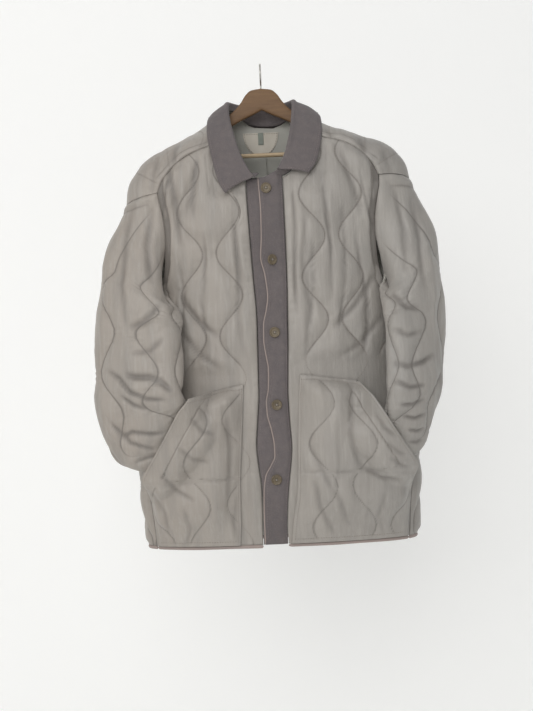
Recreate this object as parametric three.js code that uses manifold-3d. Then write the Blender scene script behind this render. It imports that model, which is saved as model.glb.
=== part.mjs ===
// A quilted jacket hanging on a wooden hanger, cuffs tucked into its patch pockets.
// Millimetres. +X is the viewer's right, the front faces -Y, +Z is up.
// The origin is the inside top of the hanger's hook.
import * as THREE from 'three';
import { mergeVertices } from 'three/addons/utils/BufferGeometryUtils.js';
import Module from 'manifold-3d';

const wasm = await Module();
wasm.setup();

// Driving dimensions of the jacket.
const jacketShift = 5;        // the jacket sits a little to the viewer's right on its hanger
const clothThickness = 2.5;   // two layers of nylon and flat wadding
const seamGap = 0.3;          // between neighbouring pieces
const sideTrim = 0.3;        // off each edge of a side seam
const cellPitch = 69;         // between two quilting lines
const lineStart = 7;          // from the centre front to the first line, less one pitch
const waveHeight = 22;        // how far a quilting line swings to each side
const waveLength = 150;       // one full wave of a quilting line
const puffHeight = 8;         // how far a full cell stands above its stitching
const leastSpacing = 4;       // columns pushed together at the armhole stay this far apart
const hemHeight = -876;       // where the quilted cloth ends and its binding begins
const armpitHeight = -425;
const shoulderEnd = 200;      // front corner of the armhole, from the centre

// From the centre to each front's own edge, beside the wool strips, which hang a little unevenly.
const frontEdges = [
  { z: -900, left: 36, right: 9 }, { z: -850, left: 36, right: 9 }, { z: -810, left: 34.5, right: 11 },
  { z: -770, left: 35, right: 15 }, { z: -741, left: 38, right: 19 }, { z: -700, left: 41, right: 23 },
  { z: -654, left: 37, right: 21 }, { z: -610, left: 33, right: 20 }, { z: -560, left: 32, right: 22 },
  { z: -510, left: 31, right: 24 }, { z: -470, left: 30.5, right: 25 }, { z: -390, left: 34, right: 27 },
  { z: -293, left: 38, right: 27 }, { z: -200, left: 41, right: 27 },
];
const sideSeamAngle = 66;     // degrees round the front quarter of the body to its side seam

// The body below and above the armpit: half width, depth of its side, front and back.
const torso = [
  { z: -890, side: 246, sideY: 16, front: -58, back: 56 },
  { z: -840, side: 250, sideY: 18, front: -63, back: 60 },
  { z: -770, side: 255, sideY: 20, front: -67, back: 63 },
  { z: -690, side: 254, sideY: 22, front: -68, back: 65 },
  { z: -600, side: 240, sideY: 24, front: -68, back: 67 },
  { z: -500, side: 228, sideY: 26, front: -68, back: 68 },
  { z: -425, side: 222, sideY: 24, front: -68, back: 68 },
  { z: -340, side: 220, sideY: 20, front: -70, back: 68 },
  { z: -260, side: 220, sideY: 15, front: -70, back: 64 },
  { z: -200, side: 220, sideY: 10, front: -65, back: 56 },
  { z: -150, side: 220, sideY: 5, front: -50, back: 44 },
  { z: -100, side: 220, sideY: 0, front: -34, back: 34 },
];
const roundness = 2.4;        // 2 is an ellipse, more is squarer

// The armhole's front and back edges above the armpit; the lowest row is the side seam's top.
const armholeFront = [
  { z: -425, x: 203, y: -24 },
  { z: -360, x: 192, y: -36 },
  { z: -300, x: 190, y: -45 },
  { z: -235, x: 200, y: -52 },
];
const armholeBack = [
  { z: -425, x: 203, y: -24 },
  { z: -395, x: 208, y: 14 },
  { z: -340, x: 202, y: 34 },
  { z: -250, x: 200, y: 44 },
];

// The top of the fronts (neckline, then the forward shoulder seam) by distance from the centre.
const frontTop = [
  { x: 0, z: -222 }, { x: 31, z: -216 }, { x: 60, z: -186 }, { x: 78, z: -140 },
  { x: 106, z: -150 }, { x: 136, z: -160 }, { x: 162, z: -175 }, { x: 190, z: -205 }, { x: 204, z: -235 },
];
const shoulderLift = 0.04;    // the cloth hangs higher on the viewer's right, per millimetre from the centre

// Where the cloth of the back turns over the shoulder, and the ridge that lies on the hanger's arm.
const backTurn = [
  { w: 0, z: -112 }, { w: 0.32, z: -160 }, { w: 0.6, z: -200 }, { w: 1, z: -250 },
];
const ridge = [
  { w: 0, x: 78, z: -101.5 }, { w: 0.32, x: 150, z: -135 }, { w: 0.58, x: 209, z: -159 },
  { w: 0.72, x: 238, z: -183 }, { w: 0.86, x: 254, z: -212 }, { w: 1, x: 260, z: -240 },
];
const backNeckHeight = -106;
const neckDip = 8;             // the back neckline is this much lower in its middle
const armClearance = 3;      // from the hanger's arm to the cloth above it
const neckRise = 8;            // more than that beside the neck

// Columns of the back that end at the neck: where each meets the ridge and how far round it stops, in degrees.
const neckTurn = [{ x: 0, end: 172 }, { x: 34, end: 158 }, { x: 67, end: 104 }, { x: 74, end: 76 }];
const shoulderSkew = 12;       // armhole seams: the viewer's right one sits higher, the left one lower

// Rings of the sleeves: the outer and the inner edge of each flattened ring, and its depth.
const sleeveRings = {
  left: [
    { t: 0, xo: 262, zo: -240, yo: -4, xi: 205, zi: -425, yi: -20, depth: 96 },
    { t: 1, xo: 282, zo: -305, yo: 2, xi: 190, zi: -440, yi: -62, depth: 96 },
    { t: 2, xo: 298, zo: -363, yo: -2, xi: 180, zi: -452, yi: -80, depth: 92 },
    { t: 3, xo: 310, zo: -425, yo: -8, xi: 174, zi: -470, yi: -92, depth: 86 },
    { t: 4, xo: 318, zo: -485, yo: -16, xi: 172, zi: -498, yi: -102, depth: 80 },
    { t: 5, xo: 321, zo: -549, yo: -30, xi: 172, zi: -548, yi: -110, depth: 74 },
    { t: 6, xo: 321, zo: -600, yo: -50, xi: 174, zi: -590, yi: -114, depth: 68 },
    { t: 7, xo: 309, zo: -667, yo: -66, xi: 166, zi: -612, yi: -104, depth: 52 },
    { t: 8, xo: 284, zo: -716, yo: -76, xi: 160, zi: -634, yi: -94, depth: 36 },
    { t: 9, xo: 248, zo: -731, yo: -80, xi: 150, zi: -650, yi: -89, depth: 28 },
    { t: 10, xo: 212, zo: -742, yo: -86, xi: 134, zi: -666, yi: -88, depth: 22 },
  ],
  right: [
    { t: 0, xo: 262, zo: -222, yo: -4, xi: 205, zi: -418, yi: -20, depth: 96 },
    { t: 1, xo: 280, zo: -290, yo: 8, xi: 208, zi: -432, yi: -66, depth: 92 },
    { t: 2, xo: 291, zo: -352, yo: 10, xi: 209, zi: -445, yi: -82, depth: 84 },
    { t: 3, xo: 298, zo: -418, yo: 8, xi: 209, zi: -468, yi: -94, depth: 76 },
    { t: 4, xo: 300, zo: -480, yo: 2, xi: 209, zi: -500, yi: -104, depth: 70 },
    { t: 5, xo: 296, zo: -545, yo: -12, xi: 208, zi: -555, yi: -112, depth: 66 },
    { t: 6, xo: 286, zo: -600, yo: -36, xi: 204, zi: -602, yi: -118, depth: 62 },
    { t: 7, xo: 272, zo: -652, yo: -50, xi: 196, zi: -638, yi: -108, depth: 48 },
    { t: 8, xo: 262, zo: -698, yo: -62, xi: 184, zi: -660, yi: -96, depth: 36 },
    { t: 9, xo: 240, zo: -724, yo: -74, xi: 164, zi: -668, yi: -89, depth: 28 },
    { t: 10, xo: 208, zo: -738, yo: -84, xi: 142, zi: -678, yi: -88, depth: 22 },
  ],
};
const sleeveRows = 29;
const armholeGap = 2.9;          // at the inside of the sleeve seam, where the two walls meet at an angle
const sleeveRowOfFirstFit = 1.4;   // rings from the armhole over which the loop becomes round

// Patch pockets: corners of the patch by distance from the centre, the viewer's left and right.
const pockets = {
  left: { innerTop: -586, outerTop: -606, mouthTop: 156, mouthFoot: 236, mouthFootHeight: -752 },
  right: { innerTop: -572, outerTop: -590, mouthTop: 150, mouthFoot: 236, mouthFootHeight: -745 },
};
const pocketEdges = [
  { z: -876, left: 77, right: 15 }, { z: -840, left: 74, right: 19 }, { z: -771, left: 73, right: 30 },
  { z: -690, left: 67, right: 34 }, { z: -575, left: 59, right: 42 },
];
const pocketLift = 1.3;        // patch to front, over the front's facets
const pocketSwell = 22;        // how far the patch stands out by itself
const cuffRound = 22;          // radius over which the patch rounds off what lies in it

// The collar: roll line and outer edge, from the centre back to the front edge.
const collarStations = [
  { t: 0, lean: 2, rx: 0, ry: 47, rz: -70, ex: 0, ey: 62, ez: -124 },
  { t: 1, lean: 1, rx: 38, ry: 38, rz: -67, ex: 62, ey: 57, ez: -112 },
  { t: 2, lean: -2, rx: 63, ry: -2, rz: -66, ex: 102, ey: 8, ez: -92 },
  { t: 3, lean: -3, rx: 60, ry: -30, rz: -102, ex: 105, ey: -42, ez: -127 },
  { t: 4, lean: -2, rx: 52, ry: -62, rz: -145, ex: 98, ey: -66, ez: -172 },
  { t: 5, lean: -1, rx: 42, ry: -77, rz: -181, ex: 91, ey: -78, ez: -206 },
  { t: 6, lean: 1, rx: 31, ry: -83, rz: -205, ex: 84, ey: -82, ez: -229 },
  { t: 7, lean: 2, rx: 23, ry: -85, rz: -217, ex: 75, ey: -83, ez: -244 },
];
const collarThickness = 2.2;

const collarRightLift = 30;    // the right leaf's point sits this much higher
const rollRightLift = 13;      // and its roll this much
const collarFold = 1.6;
const neckGap = 2.9;             // collar to the panels' edges
const fallGap = 3.6;           // collar to the panels' faces, over their facets

// The wool strips down the fronts: the over strip's free edge wanders.
const stripThickness = 2.2;
const stripTop = -222;
const underEdge = 8;
const overlap = [
  { z: -882, x: -27 }, { z: -818, x: -26.5 }, { z: -780, x: -25 }, { z: -752, x: -20.8 }, { z: -734, x: -11 },
  { z: -716, x: -3 }, { z: -700, x: -3 }, { z: -670, x: -7 }, { z: -640, x: -13.5 }, { z: -620, x: -14 },
  { z: -595, x: -9.5 }, { z: -558, x: -8 }, { z: -543, x: -10 }, { z: -508, x: -14 }, { z: -480, x: -13 },
  { z: -456, x: -7.5 }, { z: -430, x: -3.5 }, { z: -391, x: -7 }, { z: -360, x: -13 }, { z: -325, x: -10.5 },
  { z: -280, x: -9.5 }, { z: -222, x: -12 },
];
const bindingHeight = 5.5;
const buttonHoleRadius = 0.9;
const buttonStandOff = 0.5;
const neckPieceShift = -4;

const buttonSpots = [[1, -236], [6, -365], [5.5, -495], [3.5, -625], [-2.5, -759]];
const buttonRadius = 9.5;
const buttonThickness = 3;

// The hanger: the upper line of its wood, arm depth and tip.
const hangerTop = [
  { x: 0, z: -43 }, { x: 18, z: -45.5 }, { x: 29, z: -54 }, { x: 37, z: -66 }, { x: 46, z: -77 }, { x: 62, z: -91 },
  { x: 80, z: -104 }, { x: 110, z: -121 }, { x: 150, z: -139.5 }, { x: 194, z: -160 }, { x: 204, z: -170 },
];
const hangerFoot = [
  { x: 200, z: -184 }, { x: 186, z: -184 }, { x: 130, z: -154 }, { x: 80, z: -125 },
  { x: 56, z: -110 }, { x: 36, z: -99.5 }, { x: 18, z: -91.5 }, { x: 0, z: -82.5 },
];
const woodThickness = 13;
const barHeight = -166;
const barRadius = 4;
const barHalfLength = 163;
const wireRadius = 1.7;
const hookRadius = 18;

const materials = {
  nylon: new THREE.MeshStandardMaterial({ color: 0xb3aca4, roughness: 0.55 }),
  wool: new THREE.MeshStandardMaterial({ color: 0x8e8489, roughness: 0.95 }),
  binding: new THREE.MeshStandardMaterial({ color: 0xb5a6a0, roughness: 0.8 }),
  horn: new THREE.MeshStandardMaterial({ color: 0x8a7a63, roughness: 0.4 }),
  patch: new THREE.MeshStandardMaterial({ color: 0xd8cfc0, roughness: 0.9 }),
  tab: new THREE.MeshStandardMaterial({ color: 0x8f978a, roughness: 0.9 }),
  wood: new THREE.MeshStandardMaterial({ color: 0x8a6440, roughness: 0.5 }),
  dowel: new THREE.MeshStandardMaterial({ color: 0xd9cdb2, roughness: 0.6 }),
  wire: new THREE.MeshStandardMaterial({ color: 0x6b675f, roughness: 0.3, metalness: 1 }),
};

const radians = (degrees) => (degrees * Math.PI) / 180;
const mix = (a, b, share) => a + (b - a) * share;
const clamp = (value, low = 0, high = 1) => Math.min(high, Math.max(low, value));
const ease = (low, high, value) => {
  const share = clamp((value - low) / (high - low));
  return share * share * (3 - 2 * share);
};

// A smooth value from a table: its rows are in order of `key`, either way.
function lookUp(table, key, at, column) {
  const last = table.length - 1;
  const rising = table[last][key] > table[0][key];
  const rows = rising ? table : [...table].reverse();
  const where = clamp(at, rows[0][key], rows[last][key]);
  let i = 0;
  while (i < last - 1 && where > rows[i + 1][key]) i += 1;
  const slope = (n) => {
    if (n <= 0 || n >= last) return 0;
    const before = (rows[n][column] - rows[n - 1][column]) / (rows[n][key] - rows[n - 1][key]);
    const after = (rows[n + 1][column] - rows[n][column]) / (rows[n + 1][key] - rows[n][key]);
    return before * after <= 0 ? 0 : (2 * before * after) / (before + after);
  };
  const first = (rows[1][column] - rows[0][column]) / (rows[1][key] - rows[0][key]);
  const final = (rows[last][column] - rows[last - 1][column]) / (rows[last][key] - rows[last - 1][key]);
  const span = rows[i + 1][key] - rows[i][key];
  const share = (where - rows[i][key]) / span;
  const slopeIn = i === 0 ? first : slope(i);
  const slopeOut = i + 1 === last ? final : slope(i + 1);
  const cube = share * share * share;
  const square = share * share;
  return (2 * cube - 3 * square + 1) * rows[i][column] + (cube - 2 * square + share) * span * slopeIn
    + (3 * square - 2 * cube) * rows[i + 1][column] + (cube - square) * span * slopeOut;
}

const point = (x, y, z) => new THREE.Vector3(x, y, z);
const power = (value) => Math.sign(value) * Math.abs(value) ** (2 / roundness);

// One quarter of the body, from the middle of the front or back to `angle` degrees round its side.
function bodyArc(angle, middle, sideY, farY) {
  const c = Math.cos(radians(angle));
  const depth = c >= 0 ? middle - sideY : sideY - farY;
  return { x: power(Math.sin(radians(angle))), y: sideY + power(c) * depth };
}

function sideSeam(z) {
  const side = lookUp(torso, 'z', z, 'side');
  const sideY = lookUp(torso, 'z', z, 'sideY');
  const arc = bodyArc(sideSeamAngle, lookUp(torso, 'z', z, 'front'), sideY, 0);
  return { x: side * arc.x, y: arc.y };
}

const armpit = sideSeam(armpitHeight);
Object.assign(armholeFront[0], { x: armpit.x, y: armpit.y });
Object.assign(armholeBack[0], { x: armpit.x, y: armpit.y });

// The level section of the body's front or back as a list of points from its middle to its edge.
function section(z, front) {
  const middle = lookUp(torso, 'z', z, front ? 'front' : 'back');
  const other = lookUp(torso, 'z', z, front ? 'back' : 'front');
  const sideY = lookUp(torso, 'z', z, 'sideY');
  const above = z > armpitHeight;
  const edges = front ? armholeFront : armholeBack;
  const edge = above ? { x: lookUp(edges, 'z', z, 'x'), y: lookUp(edges, 'z', z, 'y') } : sideSeam(z);
  const full = front ? sideSeamAngle : 180 - sideSeamAngle;
  const last = mix(full, front ? 60 : 66, ease(armpitHeight, armpitHeight + 90, z));
  const end = bodyArc(last, middle, sideY, other);
  const points = [];
  const steps = 28;
  for (let i = 0; i <= steps; i += 1) {
    const arc = bodyArc((last * i) / steps, middle, sideY, other);
    const share = Math.abs(middle - end.y) < 1e-6 ? 0 : (middle - arc.y) / (middle - end.y);
    points.push({ x: (edge.x * arc.x) / end.x, y: mix(middle, edge.y, share) });
  }
  let length = 0;
  points[0].s = 0;
  for (let i = 1; i <= steps; i += 1) {
    length += Math.hypot(points[i].x - points[i - 1].x, points[i].y - points[i - 1].y);
    points[i].s = length;
  }
  return points;
}

const sectionLength = (z, front) => section(z, front).at(-1).s;

function sectionPoint(z, s, front) {
  const points = section(z, front);
  const where = clamp(s, 0, points.at(-1).s);
  let i = 0;
  while (i < points.length - 2 && where > points[i + 1].s) i += 1;
  const share = (where - points[i].s) / (points[i + 1].s - points[i].s);
  return point(mix(points[i].x, points[i + 1].x, share), mix(points[i].y, points[i + 1].y, share), z);
}

// Quilting: how far line `index` stands from the centre at height z.
function quiltLine(index, z, start, crest) {
  const swing = index % 2 === 0 ? waveHeight : -waveHeight;
  return start + cellPitch * index + swing * Math.cos((2 * Math.PI * (z - crest)) / waveLength);
}

const puffOf = (share, width) => puffHeight * Math.sin(Math.PI * share) * Math.min(1.15, width / cellPitch);

// A closed wall between a raised outside and a plain inside, both grids of rows and columns.
// Seen from outside, columns run to the right and rows run up; `round` joins the last column to the first.
function wall(outer, inner, round = false) {
  const positions = [];
  const faces = [];
  const put = (grid) => grid.map((row) => row.map((p) => positions.push(p.x, p.y, p.z) / 3 - 1));
  const skin = (ids, outward) => {
    for (let r = 0; r + 1 < ids.length; r += 1) {
      const count = ids[r].length;
      for (let c = 0; c + 1 < count + (round ? 1 : 0); c += 1) {
        const d = (c + 1) % count;
        const quad = [ids[r][c], ids[r][d], ids[r + 1][d], ids[r + 1][c]];
        if (!outward) quad.reverse();
        faces.push(quad[0], quad[1], quad[2], quad[0], quad[2], quad[3]);
      }
    }
  };
  const zip = (back, forward) => {
    let i = 0;
    let j = 0;
    while (i < back.length - 1 || j < forward.length - 1) {
      const nextBack = (i + 1) / (back.length - 1);
      const nextForward = (j + 1) / (forward.length - 1);
      if (j >= forward.length - 1 || (i < back.length - 1 && nextBack <= nextForward)) {
        faces.push(back[i + 1], back[i], forward[j]);
        i += 1;
      } else {
        faces.push(forward[j], forward[j + 1], back[i]);
        j += 1;
      }
    }
  };
  const out = put(outer);
  const within = put(inner);
  skin(out, true);
  skin(within, false);
  const loop = (row) => (round ? [...row, row[0]] : row);
  zip(loop(out[0]), loop(within[0]));
  zip(loop(within.at(-1)), loop(out.at(-1)));
  if (!round) {
    zip(within.map((row) => row[0]), out.map((row) => row[0]));
    zip(out.map((row) => row.at(-1)), within.map((row) => row.at(-1)));
  }
  const geometry = new THREE.BufferGeometry();
  geometry.setAttribute('position', new THREE.Float32BufferAttribute(positions, 3));
  geometry.setIndex(faces);
  return geometry;
}

function gridNormals(grid, round = false) {
  const rows = grid.length;
  const columns = grid[0].length;
  const at = (r, c) => grid[clamp(r, 0, rows - 1)][round ? (c + columns) % columns : clamp(c, 0, columns - 1)];
  return grid.map((row, r) => row.map((p, c) => {
    const across = at(r, c + 1).clone().sub(at(r, c - 1));
    const up = at(r + 1, c).clone().sub(at(r - 1, c));
    return across.cross(up).normalize();
  }));
}

const raise = (grid, normals, height) => grid.map((row, r) => row.map((p, c) => {
  const lift = typeof height === 'number' ? height : height[r][c];
  return p.clone().addScaledVector(normals[r][c], lift);
}));

// Every nth row or column of a grid, always with its last one.
const thin = (list, step) => list.filter((item, i) => i % step === 0 || i === list.length - 1);
const coarse = (grid, rowStep, columnStep) => thin(grid, rowStep).map((row) => thin(row, columnStep));
const coarseBelow = (grid, rowStep, fineFrom) => grid.filter((row, r) => r % rowStep === 0 || r >= fineFrom);

// Outer points of the quilted panels with their directions, for what lies on them.
const bodySkin = [];

// A quilted wall: the base grid is its plain inside, `puff` its raised outside above the cloth.
// Where two pieces meet on the front of the shoulder both end square to the front.
function quilted(base, puff, inner, squareEnd = () => false) {
  const normals = gridNormals(base);
  normals[0].forEach((normal) => normal.setZ(0).normalize());
  normals.at(-1).forEach((normal, c) => {
    if (squareEnd(base.at(-1)[c])) normal.set(0, -1, 0);
  });
  const height = puff.map((row) => row.map((lift) => lift + clothThickness));
  const outer = raise(base, normals, height);
  outer.forEach((row, r) => row.forEach((spot, c) => bodySkin.push({ spot, normal: normals[r][c] })));
  return wall(outer, inner);
}

const sides = {
  left: { name: 'left', sign: -1, crest: -275 },
  right: { name: 'right', sign: 1, crest: -249 },
};
const lowRows = 21;           // rows of a panel from the hem to the armpit
const highRows = 11;          // and from the armpit to the shoulder

// Height where a front ends at distance x from the centre, on one side of the jacket.
const frontTopHeight = (x, side) => lookUp(frontTop, 'x', x, 'z')
  + side.sign * shoulderLift * x * ease(60, 110, x);

// Columns of a front or back half as distances round the body, pushed together at the armhole.
function columnsAt(z, front, side, trim) {
  const edge = sectionLength(z, front) - trim;
  const lines = [];
  const counts = front ? 3 : 4;
  for (let k = 1; k <= counts; k += 1) {
    const start = front ? lineStart : 0;
    lines.push(Math.min(quiltLine(k, z, start, side.crest), edge + 1));
  }
  const first = lookUp(frontEdges, 'z', z, side.name) + seamGap;
  const marks = front ? [first, ...lines, edge] : [quiltLine(0, z, 0, side.crest), ...lines, edge];
  const list = [];
  for (let cell = 0; cell + 1 < marks.length; cell += 1) {
    for (let part = 0; part < 3; part += 1) {
      list.push({ s: mix(marks[cell], marks[cell + 1], part / 3), share: part / 3, width: marks[cell + 1] - marks[cell] });
    }
  }
  list.push({ s: edge, share: 0, width: 0 });
  const last = list.length - 1;
  list.forEach((item, i) => { item.s = Math.min(item.s, edge - (last - i) * leastSpacing); });
  return list;
}

const rowHeights = (top) => {
  const heights = [];
  for (let r = 0; r <= lowRows; r += 1) heights.push(mix(hemHeight, armpitHeight, r / lowRows));
  for (let r = 1; r <= highRows; r += 1) heights.push(mix(armpitHeight, top, r / highRows));
  return heights;
};

// A front, worked out on the +X side.
function frontGrid(side) {
  const columns = columnsAt(armpitHeight, true, side, 0).length;
  const grid = [];
  const puff = [];
  for (let r = 0; r <= lowRows + highRows; r += 1) {
    grid.push([]);
    puff.push([]);
  }
  for (let c = 0; c < columns; c += 1) {
    const last = c === columns - 1;
    let top = -200;
    for (let turn = 0; turn < 12; turn += 1) {
      const x = sectionPoint(top, columnsAt(top, true, side, 0)[c].s, true).x;
      top = mix(top, last ? frontTopHeight(shoulderEnd, side) : frontTopHeight(x, side), 0.7);
    }
    rowHeights(top).forEach((z, r) => {
      const column = columnsAt(z, true, side, sideTrim)[c];
      const bottom = r === 0 || r === lowRows + highRows;
      grid[r].push(sectionPoint(z, column.s, true));
      const { innerTop } = pockets[side.name];
      const inner = lookUp(pocketEdges, 'z', z, side.name);
      const flat = ease(innerTop + 45, innerTop + 14, z) * ease(inner - 26, inner - 8, column.s);
      const underCollar = ease(-255, -235, z) * ease(115, 95, column.s);
      puff[r].push(bottom ? 0 : puffOf(column.share, column.width) * (1 - flat) * (1 - underCollar));
    });
  }
  return { grid, puff };
}

const fronts = { left: frontGrid(sides.left), right: frontGrid(sides.right) };
const neckColumn = 3;          // the front's column that ends at the neck point
const shoulderFirst = 4;       // the back's first column that goes over the shoulder
const overRows = 8;            // rows of the back from its turn to the forward seam

// One half of the back with its part over the shoulder, worked out on the +X side from the centre.
function backGrid(side) {
  const columns = columnsAt(armpitHeight, false, side, 0).length;
  const frontTopRow = fronts[side.name].grid.at(-1);
  const shoulderCount = columns - 1 - shoulderFirst;
  const matched = shoulderCount - 2 * (shoulderCount - (frontTopRow.length - 1 - neckColumn));
  const forward = (j) => {
    const where = j <= matched ? neckColumn + j : neckColumn + matched + (j - matched) / 2;
    const i = Math.min(Math.floor(where), frontTopRow.length - 2);
    return frontTopRow[i].clone().lerp(frontTopRow[i + 1], where - i);
  };
  const grid = [];
  const puff = [];
  for (let r = 0; r <= lowRows + highRows + overRows; r += 1) {
    grid.push([]);
    puff.push([]);
  }
  for (let c = 0; c < columns; c += 1) {
    const j = c - shoulderFirst;
    const w = clamp(j / shoulderCount);
    const over = j >= 0;
    const top = over ? lookUp(backTurn, 'w', w, 'z') : backNeckHeight;
    const neckShare = clamp(c / shoulderFirst);
    rowHeights(mix(top - neckDip, top, neckShare ** 2)).forEach((z, r) => {
      const column = columnsAt(z, false, side, sideTrim)[c];
      grid[r].push(sectionPoint(z, column.s, false));
      puff[r].push(r === 0 ? 0 : puffOf(column.share, column.width) * (1 - ease(-165, -130, z)));
    });
    const from = grid[lowRows + highRows][c];
    const share = (c % 3) / 3;
    const to = over ? forward(j) : forward(0).setX(from.x);
    to.z += seamGap;
    const crest = point(over ? lookUp(ridge, 'w', w, 'x') : neckTurn[c].x, -2, lookUp(ridge, 'w', w, 'z'));
    crest.z += side.sign * shoulderSkew * w * w;
    const arm = lookUp(hangerTop, 'x', Math.abs(side.sign * crest.x + jacketShift), 'z');
    if (c > 1 && w < 0.5) crest.z = Math.max(crest.z, arm + armClearance + neckRise * (1 - ease(0, 0.2, w)));
    const turnEnd = over ? 0 : radians(neckTurn[c].end);
    for (let r = 1; r <= overRows; r += 1) {
      const angle = mix(Math.PI, turnEnd, r / overRows);
      const middle = from.clone().add(to).multiplyScalar(0.5);
      const spot = middle.clone().addScaledVector(to.clone().sub(from), Math.cos(angle) / 2)
        .addScaledVector(crest.clone().sub(middle), Math.sin(angle));
      grid[lowRows + highRows + r].push(spot);
      const lift = r === overRows ? 0 : puffOf(share, cellPitch * 0.8) * ease(0.08, 0.3, w);
      puff[lowRows + highRows + r].push(lift);
    }
  }
  return { grid, puff };
}

const backs = { left: backGrid(sides.left), right: backGrid(sides.right) };
const place = (p, sign) => point(sign * p.x + jacketShift, p.y, p.z);

// The whole back: seen from behind, its columns run from the viewer's right half to the left half.
function wholeBack() {
  const joined = backs.right.grid.map((row, r) => [
    ...row.map((p) => place(p, 1)).reverse(),
    ...backs.left.grid[r].slice(1).map((p) => place(p, -1)),
  ]);
  const puff = backs.right.puff.map((row, r) => [...[...row].reverse(), ...backs.left.puff[r].slice(1)]);
  return quilted(joined, puff, coarseBelow(joined, 2, lowRows + highRows), (p) => p.y < -20);
}

// A front in place. Seen from the front its columns run to the right, so the right one runs outwards.
function front(side) {
  const { grid, puff } = fronts[side.name];
  const placed = grid.map((row) => row.map((p) => place(p, side.sign)));
  const turned = side.sign > 0 ? placed : placed.map((row) => row.reverse());
  const lifts = side.sign > 0 ? puff : puff.map((row) => [...row].reverse());
  return quilted(turned, lifts, coarse(turned, 2, 1), () => true);
}

// The armhole as one loop of the body's own edge points: down the front, then up the back.
function armhole(side) {
  const frontEdge = fronts[side.name].grid.map((row) => row.at(-1));
  const backEdge = backs[side.name].grid.map((row) => row.at(-1));
  const frontPart = frontEdge.slice(lowRows + 1).reverse();
  const backPart = backEdge.slice(lowRows, lowRows + highRows + 1);
  const overPart = backEdge.slice(lowRows + highRows + 1, -1);
  const half = Math.floor(overPart.length / 2);
  return [...overPart.slice(half), ...frontPart, ...backPart, ...overPart.slice(0, half)];
}

// Move a point of a sleeve out of the body's wall, if it lies in it.
function clearOfBody(p, side, share, lift) {
  const outline = [...section(p.z, true), ...section(p.z, false).reverse()];
  let inside = false;
  let nearest = { distance: Infinity };
  for (let i = 0; i < outline.length; i += 1) {
    const a = outline[i];
    const b = outline[(i + 1) % outline.length];
    if ((a.y > p.y) !== (b.y > p.y) && p.x < a.x + ((b.x - a.x) * (p.y - a.y)) / (b.y - a.y)) inside = !inside;
    const length = Math.hypot(b.x - a.x, b.y - a.y);
    const chord = i === outline.length - 1 || (length > 30 && p.z > armpitHeight) || length < 1e-6;
    if (chord) continue;
    const along = clamp(((p.x - a.x) * (b.x - a.x) + (p.y - a.y) * (b.y - a.y)) / (length * length));
    const foot = { x: mix(a.x, b.x, along), y: mix(a.y, b.y, along) };
    const distance = Math.hypot(p.x - foot.x, p.y - foot.y);
    if (distance < nearest.distance) {
      nearest = { distance, foot, x: (b.y - a.y) / length, y: -(b.x - a.x) / length };
    }
  }
  const underPocket = ease(pockets[side.name].outerTop + 25, pockets[side.name].outerTop, p.z);
  const need = (clothThickness * 2 + lift + 0.8 + puffHeight * 1.1 * (1 - underPocket)) * share;
  const have = inside ? -nearest.distance : nearest.distance;
  if (have >= need || (inside && nearest.distance > 60)) return p;
  const push = need - have;
  return point(p.x + nearest.x * push, p.y + nearest.y * push, p.z);
}

// A sleeve on the +X side: rings from the armhole to the cuff, as rows from the cuff up.
function sleeveGrid(side) {
  const rings = sleeveRings[side.name];
  const loop = armhole(side);
  const count = loop.length;
  const value = (t, column) => lookUp(rings, 't', t, column);
  const ringPoint = (t, angle) => {
    const outer = point(value(t, 'xo'), value(t, 'yo'), value(t, 'zo'));
    const inner = point(value(t, 'xi'), value(t, 'yi'), value(t, 'zi'));
    const middle = outer.clone().add(inner).multiplyScalar(0.5);
    const half = outer.clone().sub(inner).multiplyScalar(0.5);
    const level = Math.hypot(half.x, half.y);
    const thick = point(half.y / level, -half.x / level, 0).multiplyScalar(value(t, 'depth') / 2);
    return middle.addScaledVector(half, Math.cos(angle)).addScaledVector(thick, Math.sin(angle));
  };
  const angles = loop.map((p, k) => (2 * Math.PI * k) / count);
  const rows = [];
  const lifts = [];
  for (let r = 0; r <= sleeveRows; r += 1) {
    const t = (rings.length - 1) * (1 - r / sleeveRows);
    const fade = 1 - ease(0, sleeveRowOfFirstFit, t);
    const path = t * 58;
    const row = [];
    const lift = [];
    for (let k = 0; k < count; k += 1) {
      const cell = Math.floor((k * 6) / count);
      const share = (k * 6) / count - cell;
      const swing = (sign) => sign * 0.3 * Math.cos((2 * Math.PI * path) / waveLength) * ease(0, 2, t);
      const low = swing(cell % 2 === 0 ? 1 : -1);
      const high = swing(cell % 2 === 0 ? -1 : 1);
      const angle = angles[k] + mix(low, high, share);
      const width = cellPitch * (1 + ((high - low) * 3) / Math.PI);
      const spot = ringPoint(t, angle);
      const start = ringPoint(0, angles[k]);
      const under = ease(-0.35, -0.9, Math.cos(angles[k]));
      const shift = loop[k].clone().sub(start);
      const upper = ease(0.6, 0.95, Math.cos(angles[k]));
      const away = point(under * 8 + armholeGap * (1 - upper / 2), 0, -armholeGap * upper);
      row.push(spot.addScaledVector(shift.add(away), fade));
      const hidden = 1 - 0.75 * ease(-0.1, -0.8, Math.sin(angle)) * ease(0.5, -0.5, Math.cos(angle));
      const squeezed = 1 - 0.85 * ease(7.4, 8.8, t);
      const swell = puffOf(share, width) * 0.85 * (1 - 0.8 * fade) * hidden * squeezed;
      lift.push(r === 0 || r === sleeveRows ? 0 : swell);
    }
    rows.push(row.map((p, k) => clearOfBody(p, side, ease(0.1, 1.2, t), lift[k])));
    lifts.push(lift);
  }
  return { grid: rows, puff: lifts };
}

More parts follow.
